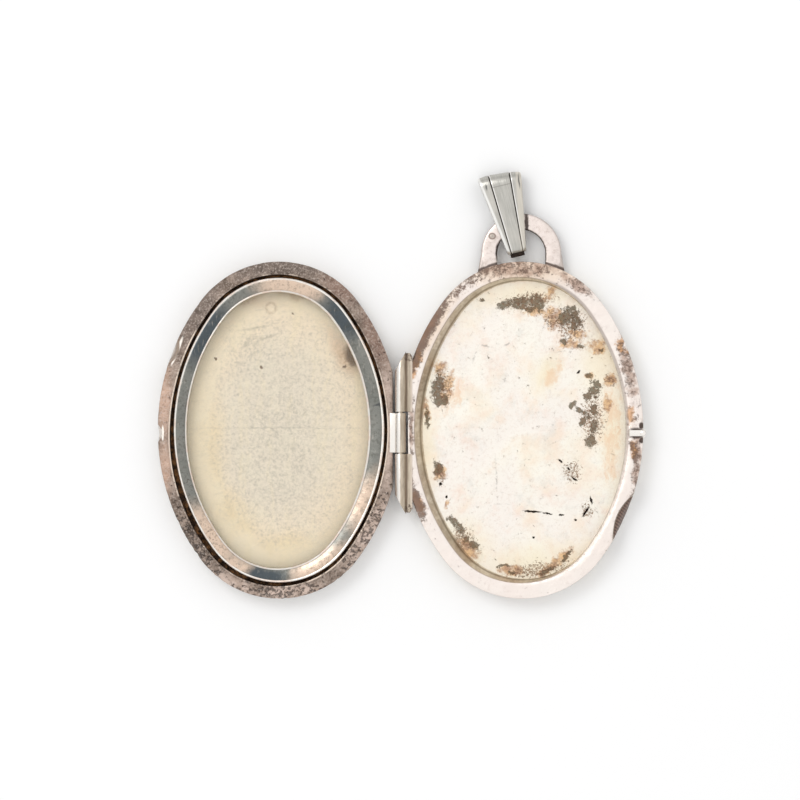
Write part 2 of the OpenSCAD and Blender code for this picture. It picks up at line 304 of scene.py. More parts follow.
def grow(bm, loop):
    """Extrudes a loop of edges, and gives the new vertices and the new loop."""
    grown = bmesh.ops.extrude_edge_only(bm, edges=loop)["geom"]
    moved = [g for g in grown if isinstance(g, bmesh.types.BMVert)]
    return moved, [g for g in grown if isinstance(g, bmesh.types.BMEdge) and g.is_boundary]


def open_loops(bm):
    """The boundary edges of a mesh, one list for each height that they lie at."""
    loops = {}
    for edge in bm.edges:
        if edge.is_boundary:
            loops.setdefault(round(edge.verts[0].co.z, 3), []).append(edge)
    return list(loops.values())


def flatten_hinge_side(bm):
    """Presses the outermost part of a leaf on to the flat along the hinge."""
    blend = 1.15
    for v in bm.verts:
        depth = max(0, inset_of(v.co.x, v.co.y))
        if v.co.x < 0 and depth < blend:
            squeezed = depth * (blend - HALF_W + FLAT_X) / blend
            v.co.x = max(v.co.x, squeezed - FLAT_X)


def ripple(bm, height, spread, test, seed=0.0, axis=2):
    """Moves the vertices that pass a test up and down by smooth noise."""
    for v in bm.verts:
        if test(v.co):
            v.co[axis] += height * noise.noise(v.co / spread + Vector((seed, seed, seed)))


def wear_edge(bm, depth, where):
    """Nicks the outer edge inwards, more where a function of place says so."""
    for v in bm.verts:
        inset = inset_of(v.co.x, v.co.y)
        amount = where(v.co)
        if inset < 0.45 and amount > 0:
            spot = v.co * 1.9
            bite = max(0, noise.noise(spot) * 1.3 + noise.noise(spot * 3.1) * 0.6)
            inward = -Vector((v.co.x, v.co.y * (HALF_W / HALF_L) ** 2, 0)).normalized()
            v.co += inward * depth * amount * bite * (1 - inset / 0.45)


def to_front(bm):
    """Mirrors a leaf in the hinge line, to where the front leaf lies."""
    for v in bm.verts:
        v.co.x = FRONT_X - v.co.x
    bmesh.ops.reverse_faces(bm, faces=bm.faces)


# ---- Shader helpers ----

class Wire:
    """A shader value or colour that Python expressions add nodes to."""

    def __init__(self, maker, socket):
        self.maker = maker
        self.socket = socket

    def maths(self, operation, *others):
        return self.maker.node("ShaderNodeMath", {"operation": operation}, [self, *others])

    def __add__(self, other):
        return self.maths("ADD", other)

    def __mul__(self, other):
        return self.maths("MULTIPLY", other)

    def __sub__(self, other):
        return self.maths("SUBTRACT", other)

    def __rsub__(self, other):
        return self.maker.node("ShaderNodeMath", {"operation": "SUBTRACT"}, [other, self])

    def __truediv__(self, other):
        return self.maths("DIVIDE", other)

    def __abs__(self):
        return self.maths("ABSOLUTE")

    __radd__ = __add__
    __rmul__ = __mul__


class Maker:
    """Adds nodes to one material's or world's tree."""

    def __init__(self, tree):
        self.tree = tree

    def node(self, kind, settings, inputs=(), output=0):
        """Adds a node: its settings first, then its sockets' values or links."""
        made = self.tree.nodes.new(kind)
        for key, value in settings.items():
            setattr(made, key, value)
        pairs = inputs.items() if isinstance(inputs, dict) else enumerate(inputs)
        for key, value in pairs:
            if isinstance(value, Wire):
                self.tree.links.new(value.socket, made.inputs[key])
            elif value is not None:
                made.inputs[key].default_value = value
        return Wire(self, made.outputs[output]) if made.outputs else None

    def place(self):
        """The place on the piece, in millimetres."""
        spot = self.node("ShaderNodeTexCoord", {}, output=3)
        return self.node("ShaderNodeVectorMath", {"operation": "SCALE"}, {0: spot, "Scale": 1 / MM})

    def noise(self, place, scale, detail=3.0, rough=0.55, output=0):
        return self.node("ShaderNodeTexNoise", {}, {
            "Vector": place, "Scale": scale, "Detail": detail, "Roughness": rough}, output)

    def step(self, value, low, high):
        """Rises smoothly from 0 to 1 as the value goes from low to high."""
        return self.node("ShaderNodeMapRange", {"interpolation_type": "SMOOTHSTEP"},
                         {"Value": value, "From Min": low, "From Max": high})

    def mix(self, mask, first, second):
        """Goes from the first colour to the second as the mask goes from 0 to 1."""
        full = [c if isinstance(c, Wire) else (*c, 1.0) for c in (first, second)]
        return self.node("ShaderNodeMix", {"data_type": "RGBA"}, {0: mask, 6: full[0], 7: full[1]}, 2)

    def warp(self, place, scale, amount):
        """Shifts the place by noise, so that edges drawn on it come out ragged."""
        cloud = self.noise(place, scale, 4.0, 0.6, output=1)
        shift = self.node("ShaderNodeVectorMath", {"operation": "MULTIPLY_ADD"},
                          [cloud, (amount,) * 3, (-amount / 2,) * 3])
        return self.node("ShaderNodeVectorMath", {"operation": "ADD"}, [place, shift])

    def reach(self, place, x, y, rx, ry, turn=0):
        """Distance from a place, as a share of an ellipse's radii."""
        local = self.node("ShaderNodeMapping", {"vector_type": "TEXTURE"}, {
            "Vector": place, "Location": (x, y, 0), "Rotation": (0, 0, math.radians(turn)),
            "Scale": (rx, ry, 1000)})
        return self.node("ShaderNodeVectorMath", {"operation": "LENGTH"}, [local], 1)

    def spots(self, place, patches, low=1.25, high=0.75):
        """A mask of soft-edged ellipses, each given as x, y, rx, ry and a turn."""
        total = None
        for patch in patches:
            mask = self.step(self.reach(place, *patch), low, high)
            total = mask if total is None else total.maths("MAXIMUM", mask)
        return total

    def across(self, place):
        """Place from left to right, in millimetres."""
        return self.node("ShaderNodeSeparateXYZ", {}, [place], 0)

    def along(self, place):
        """Place from the near end to the far end, in millimetres."""
        return self.node("ShaderNodeSeparateXYZ", {}, [place], 1)

    def height(self, place):
        """Height above the floor, in millimetres."""
        return self.node("ShaderNodeSeparateXYZ", {}, [place], 2)

    def stretch(self, place, scale, turn=0.0):
        """The place turned and then scaled along each axis, for streaks and brush lines."""
        return self.node("ShaderNodeMapping", {}, {"Vector": place, "Scale": scale, "Rotation": (0, 0, turn)})

    def bump(self, height, depth, normal=None):
        """A bump whose height of 1 stands for a depth in millimetres."""
        return self.node("ShaderNodeBump", {}, {
            "Strength": 1.0, "Distance": depth * MM, "Height": height, "Normal": normal})


def new_material(name):
    """A cleared material, its node maker and a function that sets its shader."""
    material = bpy.data.materials.new(name)
    material.use_nodes = True
    tree = material.node_tree
    tree.nodes.clear()
    maker = Maker(tree)

    def shade(**sockets):
        inputs = {key.replace("_", " "): value for key, value in sockets.items()}
        inputs = {key: (*v, 1.0) if isinstance(v, tuple) and len(v) == 3 else v for key, v in inputs.items()}
        surface = maker.node("ShaderNodeBsdfPrincipled", {}, inputs)
        maker.node("ShaderNodeOutputMaterial", {}, [surface])
        return material

    return maker, shade


def finish(name):
    """One of the user's colours."""
    return tuple(getattr(bpy.context.scene.locket_finishes, name))


# ---- Finishes ----

def cover_silver():
    """Frosted pinkish silver, pitted and stained where the back leaf's floor is corroded."""
    m, shade = new_material("Cover silver")
    place = m.place()
    wavy = m.warp(place, 0.8, 1.4)
    ragged = m.warp(m.warp(place, 1.1, 1.0), 4.0, 0.5)
    soft = m.noise(place, 0.16, 3.0)
    tone = m.mix(m.step(soft, 0.35, 0.68), finish("silver"), (0.90, 0.865, 0.78))
    pink = m.noise(place, 0.42, 6.0, 0.66)
    tone = m.mix(m.step(pink, 0.48, 0.7) * 0.7, tone, (0.86, 0.70, 0.61))
    grey = m.noise(wavy, 0.5, 6.0, 0.7)
    tone = m.mix(m.step(grey, 0.52, 0.68) * 0.45, tone, (0.70, 0.68, 0.63))
    sand = m.noise(place, 3.0, 6.0, 0.85)
    tone = m.mix(m.step(sand, 0.5, 0.64) * 0.3, tone, (0.64, 0.50, 0.42))
    blush = m.noise(place, 0.22, 4.0, 0.6)
    tone = m.mix(m.step(blush, 0.46, 0.66) * 0.4, tone, (0.90, 0.78, 0.60))
    yellow = m.spots(wavy, (
        (9.0, 0.5, 1.4, 5.5), (8.0, 6.5, 2.4, 4.2), (-5.5, -12.0, 3.4, 2.8, -40), (0.5, 13.6, 6.5, 1.6),
        (2.6, 6.0, 1.3, 2.2, -30), (-9.6, -1.5, 1.2, 6.0), (1.0, -13.4, 6.5, 2.1)), 1.5, 0.1)
    tone = m.mix(yellow * 0.5, tone, finish("cream"))
    streaks = m.noise(m.stretch(ragged, (2.6, 0.5, 1.0)), 0.9, 6.0, 0.7)
    strong = m.spots(wavy, (
        (8.9, 0.8, 1.2, 4.8), (8.9, -3.4, 0.9, 2.4), (-7.0, 3.4, 1.2, 2.2, -30), (3.2, 5.6, 0.7, 1.8, -40)),
        1.4, 0.2)
    tone = m.mix(m.step(streaks + strong * 0.3, 0.6, 0.86) * 0.5, tone, (0.80, 0.52, 0.32))
    halo = m.spots(ragged, (
        (2.9, 13.8, 0.5, 1.1, -30), (4.9, 8.6, 1.5, 0.7, 10), (7.5, 8.3, 1.2, 0.9, -10),
        (-8.0, 6.2, 0.8, 0.9, -20), (-7.4, 4.2, 0.7, 2.0, -12), (8.9, 5.0, 0.8, 0.8), (6.6, 5.4, 0.7, 0.4),
        (-5.4, -11.9, 1.7, 1.0, -45), (-1.0, -14.0, 1.7, 0.7), (3.3, -13.3, 2.8, 0.6, 38),
        (-8.2, -4.2, 0.8, 1.1, 10), (-9.5, 1.9, 0.4, 1.5, 5), (1.4, 11.9, 1.4, 0.6, 8),
        (-10.3, -7.0, 0.5, 1.6, -15), (3.2, 11.2, 1.2, 1.4), (5.6, 9.6, 1.2, 0.6), (8.6, 2.6, 0.5, 0.9),
        (-7.4, -7.4, 0.3, 0.6, -30)), 1.55, 0.25)
    cloud = m.noise(place, 1.7, 8.0, 0.72)
    haloed = m.step(halo + (cloud - 0.5) * 2.6, 0.36, 1.05)
    burnt = m.step(m.noise(place, 1.5, 6.0, 0.7), 0.4, 0.6)
    tone = m.mix(haloed * 0.85, tone, m.mix(burnt, (0.76, 0.47, 0.22), (0.40, 0.20, 0.10)))
    core = m.spots(ragged, (
        (-1.7, 12.5, 0.8, 0.4, 20), (-0.2, 12.7, 0.9, 0.7, 15), (1.6, 12.8, 0.65, 0.9, 30),
        (0.9, 12.1, 0.6, 0.4), (4.6, 11.4, 1.2, 0.8, 30), (5.4, 10.7, 0.8, 0.7), (-8.3, 4.4, 0.7, 1.4, -12),
        (-8.0, 2.9, 0.8, 0.6), (7.3, 4.2, 0.6, 0.9), (6.6, 3.4, 0.6, 0.4, 40), (5.1, 2.5, 0.5, 0.3, 30),
        (5.9, 1.9, 0.8, 0.3, -40), (6.2, 0.9, 0.9, 0.3, 40), (7.2, 2.0, 0.35, 0.6, 10), (7.2, 0.3, 0.45, 0.7),
        (6.9, -1.2, 0.55, 0.7), (-8.4, -3.8, 0.5, 0.7, 10), (-6.6, -9.4, 1.1, 0.4, -50),
        (-5.6, -10.9, 0.4, 0.35), (-4.7, -11.5, 0.7, 0.35, -30), (4.6, -12.5, 0.8, 0.22, 45),
        (2.6, -14.1, 0.9, 0.2, 22), (-1.7, -13.6, 0.8, 0.15, 5), (-1.0, -14.2, 0.4, 0.16),
        (-9.4, 1.2, 0.16, 1.2, 5), (6.6, 5.4, 0.4, 0.22), (4.2, 8.9, 0.3, 0.3), (5.9, 8.4, 0.5, 0.16),
        (-4.0, 13.0, 0.22, 0.2), (7.9, 8.0, 0.3, 0.16), (10.3, 3.5, 0.2, 0.3)), 1.5, 0.5)
    grain = m.noise(ragged, 1.9, 9.0, 0.82)
    cored = m.step(core + (grain - 0.5) * 5.0, 0.55, 0.85)
    olive = m.mix(m.step(m.noise(place, 2.6, 6.0, 0.75), 0.35, 0.62), (0.21, 0.12, 0.06), finish("olive"))
    dark = m.mix(cored * 0.9, tone, olive)
    speck = m.noise(place, 4.4, 5.0, 0.75)
    near = m.spots(wavy, (
        (2.9, 11.0, 0.9, 1.5), (0.6, 12.9, 3.6, 1.2, 5), (5.0, 10.4, 1.8, 2.2), (7.0, 1.4, 1.7, 3.6),
        (-8.0, 4.2, 1.3, 2.6), (-5.8, -10.8, 2.0, 1.4, -45), (1.5, -14.0, 4.6, 0.9, 10),
        (5.0, -4.2, 1.2, 1.5), (8.8, 5.0, 0.9, 1.0), (-8.2, -4.3, 0.8, 1.5), (6.6, -8.0, 0.9, 1.0)), 1.6, 0.2)
    specked = m.step(speck + near * 0.24, 0.69, 0.79)
    dark = m.mix(specked * 0.85, dark, m.mix(m.noise(place, 1.2, 2.0), (0.40, 0.22, 0.12), (0.08, 0.055, 0.04)))
    ticks = m.spots(m.warp(place, 5.0, 0.3), (
        (-0.7, 15.2, 0.1, 0.42, 5), (1.1, -8.15, 0.9, 0.1, -4), (2.6, -8.35, 0.5, 0.08, -8),
        (4.0, -8.5, 0.28, 0.09), (6.4, -8.2, 0.12, 0.6, -34), (6.95, -7.0, 0.09, 0.4, 15),
        (5.7, 5.8, 0.25, 0.1, 40), (5.4, -9.0, 0.14, 0.12), (1.2, -10.75, 0.1, 0.11),
        (-6.6, 11.1, 0.4, 0.1, 50), (-8.7, 8.3, 0.12, 0.13), (-8.1, -5.4, 0.2, 0.13, 60),
        (-7.5, -6.7, 0.12, 0.13), (3.9, -3.1, 0.3, 0.09, -40), (5.3, -4.9, 0.35, 0.09, -35),
        (4.7, -3.9, 0.2, 0.08, -45)), 1.3, 0.6)
    dark = m.mix(ticks, dark, finish("soot_and_shade"))
    faint = m.spots(m.warp(place, 3.0, 0.3), (
        (-2.5, -4.9, 0.1, 1.9, 3), (-2.0, -7.4, 0.7, 0.08), (-1.4, 8.6, 0.4, 0.1, 30),
        (-4.6, 7.6, 0.1, 0.9, -20), (4.6, 8.0, 0.9, 0.1, 12), (-3.5, 8.4, 0.6, 0.1, -10)), 1.6, 0.2)
    dark = m.mix(faint * m.step(cloud, 0.42, 0.6) * 0.6, dark, (0.30, 0.28, 0.26))
    # Painted shade: the flat side along the hinge is darkened where the gap between the leaf and the knuckles lies in
    # shade
    hinge_gap_shade = m.step(m.across(place), 0.1 - FLAT_X, -FLAT_X) * m.step(m.height(place), 2.4, 1.8)
    dark = m.mix(hinge_gap_shade * 0.7, dark, (0.20, 0.14, 0.105))
    fine = m.noise(place, 9.0, 2.0)
    level = soft * 0.4 + pink * 0.35 + fine * 0.08 - cored * 0.3 - ticks * 0.35 - specked * 0.1
    return shade(Base_Color=dark, Metallic=1.0 - (cored.maths("MAXIMUM", haloed)) * 0.75,
                 Roughness=cored * 0.25 + 0.42 + (fine - 0.5) * 0.15, Normal=m.bump(level, 0.1))


def cover_silver_front():
    """Worn bright silver of the front cover, with fine scratches and an engraved border's dark lines."""
    m, shade = new_material("Front cover silver")
    place = m.place()
    cloud = m.noise(place, 0.4, 5.0, 0.6)
    tone = m.mix(m.step(cloud, 0.35, 0.7), (0.72, 0.66, 0.60), (0.88, 0.82, 0.76))
    line = m.noise(m.stretch(place, (0.3, 5.0, 1.0), 0.7), 1.4, 4.0, 0.7)
    tone = m.mix(m.step(line, 0.6, 0.75) * 0.3, tone, (0.45, 0.40, 0.35))
    height = m.height(place)
    edge = m.step(height, 0.9, 1.9)
    tone = m.mix(edge * m.step(cloud, 0.2, 0.5), tone, (0.33, 0.26, 0.21))
    near_hinge = FRONT_X + FLAT_X
    # Painted shade: the flat side along the hinge is darkened where the gap between the leaf and the knuckles lies in
    # shade
    hinge_gap_shade = m.step(m.across(place), near_hinge - 0.1, near_hinge) * m.step(height, 0.5, 1.0)
    tone = m.mix(hinge_gap_shade * 0.7, tone, (0.20, 0.14, 0.105))
    cut = m.step(height, 0.03, 0.075) * (1.0 - m.step(height, 0.095, 0.12))
    centre = m.reach(place, FRONT_X, 0.0, HALF_W - 2.6, HALF_L - 2.6)
    tone = m.mix(cut * (1.0 - m.step(centre, 1.0, 1.02)), tone, (0.05, 0.035, 0.03))
    speck = m.noise(place, 4.0, 5.0, 0.72)
    spotted = m.step(speck + edge * 0.05, 0.64, 0.74)
    tone = m.mix(spotted * 0.6, tone, (0.16, 0.11, 0.08))
    return shade(Base_Color=tone, Metallic=1.0 - spotted * 0.4, Roughness=0.26 + spotted * 0.3 + edge * 0.15,
                 Normal=m.bump(cloud + line * 0.3 - spotted * 0.3, 0.04))


def band_silver():
    """Pinkish-white silver of the back band, with brown speckle, and a darker tan recess wall, darkest at its foot."""
    m, shade = new_material("Band silver")
    place = m.place()
    wavy = m.warp(place, 0.8, 1.2)
    tone = m.mix(m.noise(place, 0.35, 4.0), (0.86, 0.755, 0.70), (0.885, 0.83, 0.775))
    fleck = m.noise(place, 1.1, 6.0, 0.72)
    tone = m.mix(m.step(fleck, 0.52, 0.7) * 0.4, tone, (0.70, 0.60, 0.55))
    brown = m.spots(wavy, (
        (-1.0, 16.2, 7.5, 1.5), (-10.0, 9.2, 1.2, 6.0, -27), (-11.0, 0.5, 0.35, 5.0),
        (5.6, 14.4, 3.0, 0.9, -32), (10.6, 6.0, 0.9, 4.4, 14), (11.4, -3.0, 0.7, 5.0),
        (-10.4, -7.2, 1.0, 1.8, 15)), 1.45, 0.2)
    gold = m.spots(wavy, ((0.0, 15.9, 7.5, 1.5), (-9.0, 10.2, 1.0, 5.0, -30)), 1.5, 0.3)
    tone = m.mix(gold * 0.55, tone, (0.80, 0.60, 0.42))
    wash = m.step(brown + (m.noise(place, 1.0, 7.0, 0.7) - 0.5) * 1.7, 0.5, 1.1)
    tone = m.mix(wash * 0.75, tone, (0.42, 0.27, 0.20))
    orange = m.spots(wavy, (
        (10.8, 1.4, 0.6, 1.3), (-10.6, 6.6, 0.6, 2.4, -15), (-10.3, -7.3, 0.7, 1.5, 20),
        (11.1, -1.9, 0.4, 1.4), (9.9, 8.4, 0.7, 1.2, 30), (-9.3, 10.2, 0.5, 1.8, -30)), 1.5, 0.2)
    hot = m.step(orange + (m.noise(place, 2.0, 6.0, 0.7) - 0.5) * 1.7, 0.5, 1.0)
    tone = m.mix(hot * 0.85, tone, (0.60, 0.33, 0.16))
    speck = m.noise(place, 2.4, 7.0, 0.8)
    outer = m.step(m.reach(place, 0.0, 0.0, HALF_W, HALF_L), 0.91, 0.97)
    worn = outer * m.spots(wavy, (
        (-8.2, 12.0, 6.4, 3.2, 55), (-11.6, -6.0, 2.0, 4.0, 20), (11.4, -9.0, 1.6, 6.0, -25)), 1.3, 0.6)
    tone = m.mix(worn * m.step(speck, 0.42, 0.62) * 0.7, tone, (0.58, 0.41, 0.32))
    spotted = m.step(speck + brown * 0.13 + orange * 0.06 + worn * 0.15, 0.6, 0.74)
    tone = m.mix(spotted * 0.85, tone, m.mix(m.noise(place, 1.4, 2.0), (0.10, 0.065, 0.05), (0.28, 0.17, 0.12)))
    solder = m.spots(m.warp(place, 3.0, 0.25), (
        (11.9, 0.45, 0.24, 0.34), (11.9, -1.0, 0.22, 0.34), (11.4, -0.3, 0.85, 0.55),
        (-11.0, -7.6, 0.35, 0.8, 20), (-11.0, 7.4, 0.35, 0.8, -20)), 1.25, 0.75)
    tone = m.mix(solder * 0.95, tone, (0.07, 0.045, 0.035))
    height = m.height(place)
    edge = m.step(height, RIM - 0.012, RIM - 0.06)
    tone = m.mix(edge * 0.6, tone, (0.34, 0.27, 0.23))
    depth = m.step(height, RIM - 0.05, RIM - 0.25)
    streak = m.noise(m.stretch(place, (1.0, 1.0, 0.25)), 1.4, 5.0, 0.7)
    wall = m.mix(m.step(streak, 0.35, 0.65), (0.58, 0.50, 0.39), (0.80, 0.73, 0.62))
    foot = m.step(height, FLOOR + 0.9, FLOOR + 0.5) * (1.0 - m.step(height, FLOOR + 0.45, FLOOR + 0.2))
    wall = m.mix(foot * 0.75, wall, (0.25, 0.19, 0.12))
    tone = m.mix(depth, tone, wall)
    fine = m.noise(place, 8.0, 3.0)
    level = fine * 0.25 + m.noise(place, 0.9, 2.0) + fleck * 0.5 - spotted * 0.5
    return shade(Base_Color=tone, Metallic=1.0 - spotted * 0.6, Roughness=0.36 + spotted * 0.3 + depth * 0.1,
                 Normal=m.bump(level, 0.06))


def band_tarnished():
    """Brown-grey tarnish of the front band, pitted, with a pale rubbed lip and a black groove."""
    m, shade = new_material("Tarnished band")
    place = m.place()
    wavy = m.warp(place, 0.7, 1.4)
    cloud = m.noise(place, 0.8, 6.0, 0.7)
    tone = m.mix(m.step(cloud, 0.34, 0.66), (0.155, 0.115, 0.09), (0.36, 0.28, 0.23))
    dark = m.spots(wavy, ((-24.8, 16.2, 5.5, 1.3), (-32.4, 12.0, 2.0, 4.0, -30)), 1.4, 0.3)
    tone = m.mix(dark * 0.6, tone, (0.10, 0.08, 0.07))
    red = m.spots(wavy, ((-14.4, 9.3, 1.3, 3.6, 18), (-18.0, 14.3, 2.0, 1.4, -35)), 1.4, 0.3)
    tone = m.mix(red * 0.55, tone, (0.28, 0.17, 0.13))
    orange = m.spots(wavy, ((-35.7, 3.0, 0.9, 4.0), (-35.6, -4.0, 0.8, 3.0)), 1.4, 0.3)
    tone = m.mix(orange * 0.7, tone, (0.62, 0.42, 0.32))
    pale = m.spots(wavy, (
        (-15.3, -10.4, 2.4, 5.0, -28), (-22.5, -16.3, 5.0, 1.2), (-13.4, 0.0, 0.7, 7.0),
        (-28.5, -15.6, 3.0, 1.2, 160)), 1.35, 0.35)
    tone = m.mix(pale * 0.85, tone, m.mix(m.step(cloud, 0.4, 0.6), (0.50, 0.38, 0.31), (0.72, 0.57, 0.49)))
    pits = m.noise(place, 2.3, 5.0, 0.72)
    rough_side = m.spots(wavy, (
        (-15.5, -10.4, 2.4, 5.0, -28), (-24.0, -16.2, 7.5, 1.4), (-32.4, -11.5, 2.2, 5.0, 32)), 1.35, 0.4)
    pitted = m.step(pits + rough_side * 0.12, 0.62, 0.69)
    tone = m.mix(pitted * 0.8, tone, (0.06, 0.045, 0.038))
    fine = m.noise(place, 5.0, 6.0, 0.8)
    tone = m.mix(m.step(fine, 0.5, 0.62) * 0.7, tone, (0.54, 0.46, 0.41))
    tone = m.mix(m.step(fine, 0.46, 0.36) * 0.6, tone, (0.08, 0.06, 0.05))
    height = m.height(place)
    lip = m.step(height, RIM - 0.045, RIM - 0.012)
    worn = m.noise(place, 1.6, 3.0)
    rubbed = m.spots(wavy, (
        (-35.0, 0.0, 2.4, 7.0), (-14.0, -3.0, 2.0, 9.0), (-18.0, -13.0, 6.0, 4.0, 35),
        (-33.0, 8.0, 1.6, 2.4)), 1.4, 0.3)
    tone = m.mix(lip * m.step(worn + rubbed * 0.4, 0.5, 0.8) * 0.9, tone, (0.72, 0.60, 0.50))
    cut = m.spots(place, ((-34.36, 7.9, 0.17, 1.6, -22), (-35.8, -0.3, 0.13, 0.8)), 1.2, 0.7)
    tone = m.mix(cut * 0.9, tone, (0.93, 0.87, 0.80))
    side = m.step(height, WALL_TOP + 0.14, WALL_TOP + 0.02) * (1.0 - cut)
    tone = m.mix(side, tone, m.mix(m.step(worn, 0.4, 0.7), (0.045, 0.025, 0.015), (0.30, 0.15, 0.06)))
    level = cloud * 0.8 + fine * 0.3 - pitted
    return shade(Base_Color=tone, Metallic=0.85 - pitted * 0.3, Roughness=0.46 + (fine - 0.5) * 0.3 - lip * 0.14,
                 Normal=m.bump(level, 0.09))


def scoop_silver():
    """Brown tarnished silver of the thumb scoop's wall, hatched by filing."""
    m, shade = new_material("Filed silver of the scoop")
    place = m.place()
    along = m.along(m.stretch(place, (1, 1, 1), math.radians(35)))
    hatch = m.step((along * 22.0 + m.noise(place, 2.0) * 3.0).maths("SINE"), -0.2, 0.8)
    tone = m.mix(m.noise(place, 2.2, 5.0, 0.7), (0.26, 0.17, 0.13), (0.17, 0.11, 0.09))
    tone = m.mix(hatch * 0.8, tone, (0.07, 0.045, 0.035))
    return shade(Base_Color=tone, Metallic=0.35, Roughness=0.5, Normal=m.bump(hatch, -0.03))


def bezel_silver():
    """Polished silver of the bezel, with painted cream reflections, slate grey patches that are partly tarnish and
    partly painted dark reflection, rubbed bright on its edges.
    """
    m, shade = new_material("Bezel silver")
    place = m.place()
    wavy = m.warp(place, 0.5, 1.6)
    tone = m.mix(m.noise(place, 0.5, 3.0), (0.17, 0.175, 0.16), (0.27, 0.265, 0.24))
    # Painted reflection: the cream patches stand for the key light and the bright sky mirrored in the polished bezel
    cream = m.spots(wavy, (
        (-22.8, 14.2, 4.0, 1.6), (-14.6, -7.6, 2.6, 4.0, -20), (-18.6, -13.6, 3.4, 2.0, 35),
        (-31.2, -10.8, 2.4, 4.0, 30), (-28.4, -13.9, 2.2, 1.4, -25), (-21.0, -14.4, 2.4, 1.4, 20)), 1.25,
        0.45)
    tone = m.mix(cream * 0.92, tone, (0.76, 0.58, 0.45))
    # Slate-grey patches: partly tarnish, partly painted dark reflection
    slate_tarnish_and_dark_reflection = m.spots(wavy, (
        (-17.6, 11.6, 2.2, 2.8, 35), (-31.6, 9.6, 1.8, 3.6, -30), (-25.7, -14.5, 2.2, 0.9, -6)), 1.3, 0.5)
    tone = m.mix(slate_tarnish_and_dark_reflection, tone, (0.085, 0.10, 0.11))
    scratched = m.noise(m.stretch(place, (2.4, 0.5, 1.0)), 2.2, 5.0, 0.7)
    tone = m.mix(m.step(scratched, 0.56, 0.7) * 0.4, tone, (0.55, 0.50, 0.44))
    speck = m.noise(place, 5.0, 4.0, 0.75)
    lower_left = m.spots(wavy, (
        (-33.2, -6.4, 1.2, 2.6), (-33.0, 1.0, 1.4, 6.0), (-31.0, -10.5, 1.6, 2.4, 30)), 1.4, 0.4)
    spotted = m.step(speck + lower_left * 0.1, 0.68, 0.76)
    tone = m.mix(spotted, tone, (0.10, 0.06, 0.045))
    mottle = m.noise(place, 2.2, 6.0, 0.75)
    tone = m.mix(m.step(mottle, 0.5, 0.62) * 0.4, tone, (0.075, 0.075, 0.06))
    square = m.spots(m.warp(place, 2.0, 0.2), ((-13.9, 2.5, 0.35, 0.3), (-14.0, 2.6, 0.8, 0.15, 10)), 1.3, 0.6)
    tone = m.mix(square * 0.7, tone, (0.05, 0.055, 0.06))
    height = m.height(place)
    low = m.step(height, RIM - 0.02, RIM - 0.4)
    tone = m.mix(low, tone, (0.06, 0.035, 0.02))
    level = m.noise(place, 0.7, 2.0) + speck * 0.12 - spotted * 0.4
    return shade(Base_Color=tone, Metallic=1.0 - spotted * 0.5, Roughness=0.24 + spotted * 0.3 + speck * 0.08,
                 Normal=m.bump(level, 0.05))


def bezel_bright():
    """Rubbed cream silver of the bezel's two beads."""
    m, shade = new_material("Bezel bead silver")
    place = m.place()
    wear = m.noise(place, 0.9, 5.0, 0.65)
    tone = m.mix(m.step(wear, 0.4, 0.7), finish("bright"), (0.86, 0.70, 0.60))
    speck = m.noise(place, 4.5, 4.0, 0.72)
    spotted = m.step(speck, 0.62, 0.74)
    tone = m.mix(spotted * 0.8, tone, (0.20, 0.13, 0.09))
    return shade(Base_Color=tone, Metallic=1.0 - spotted * 0.4, Roughness=0.28 + spotted * 0.2,
                 Normal=m.bump(wear - spotted * 0.3, 0.04))


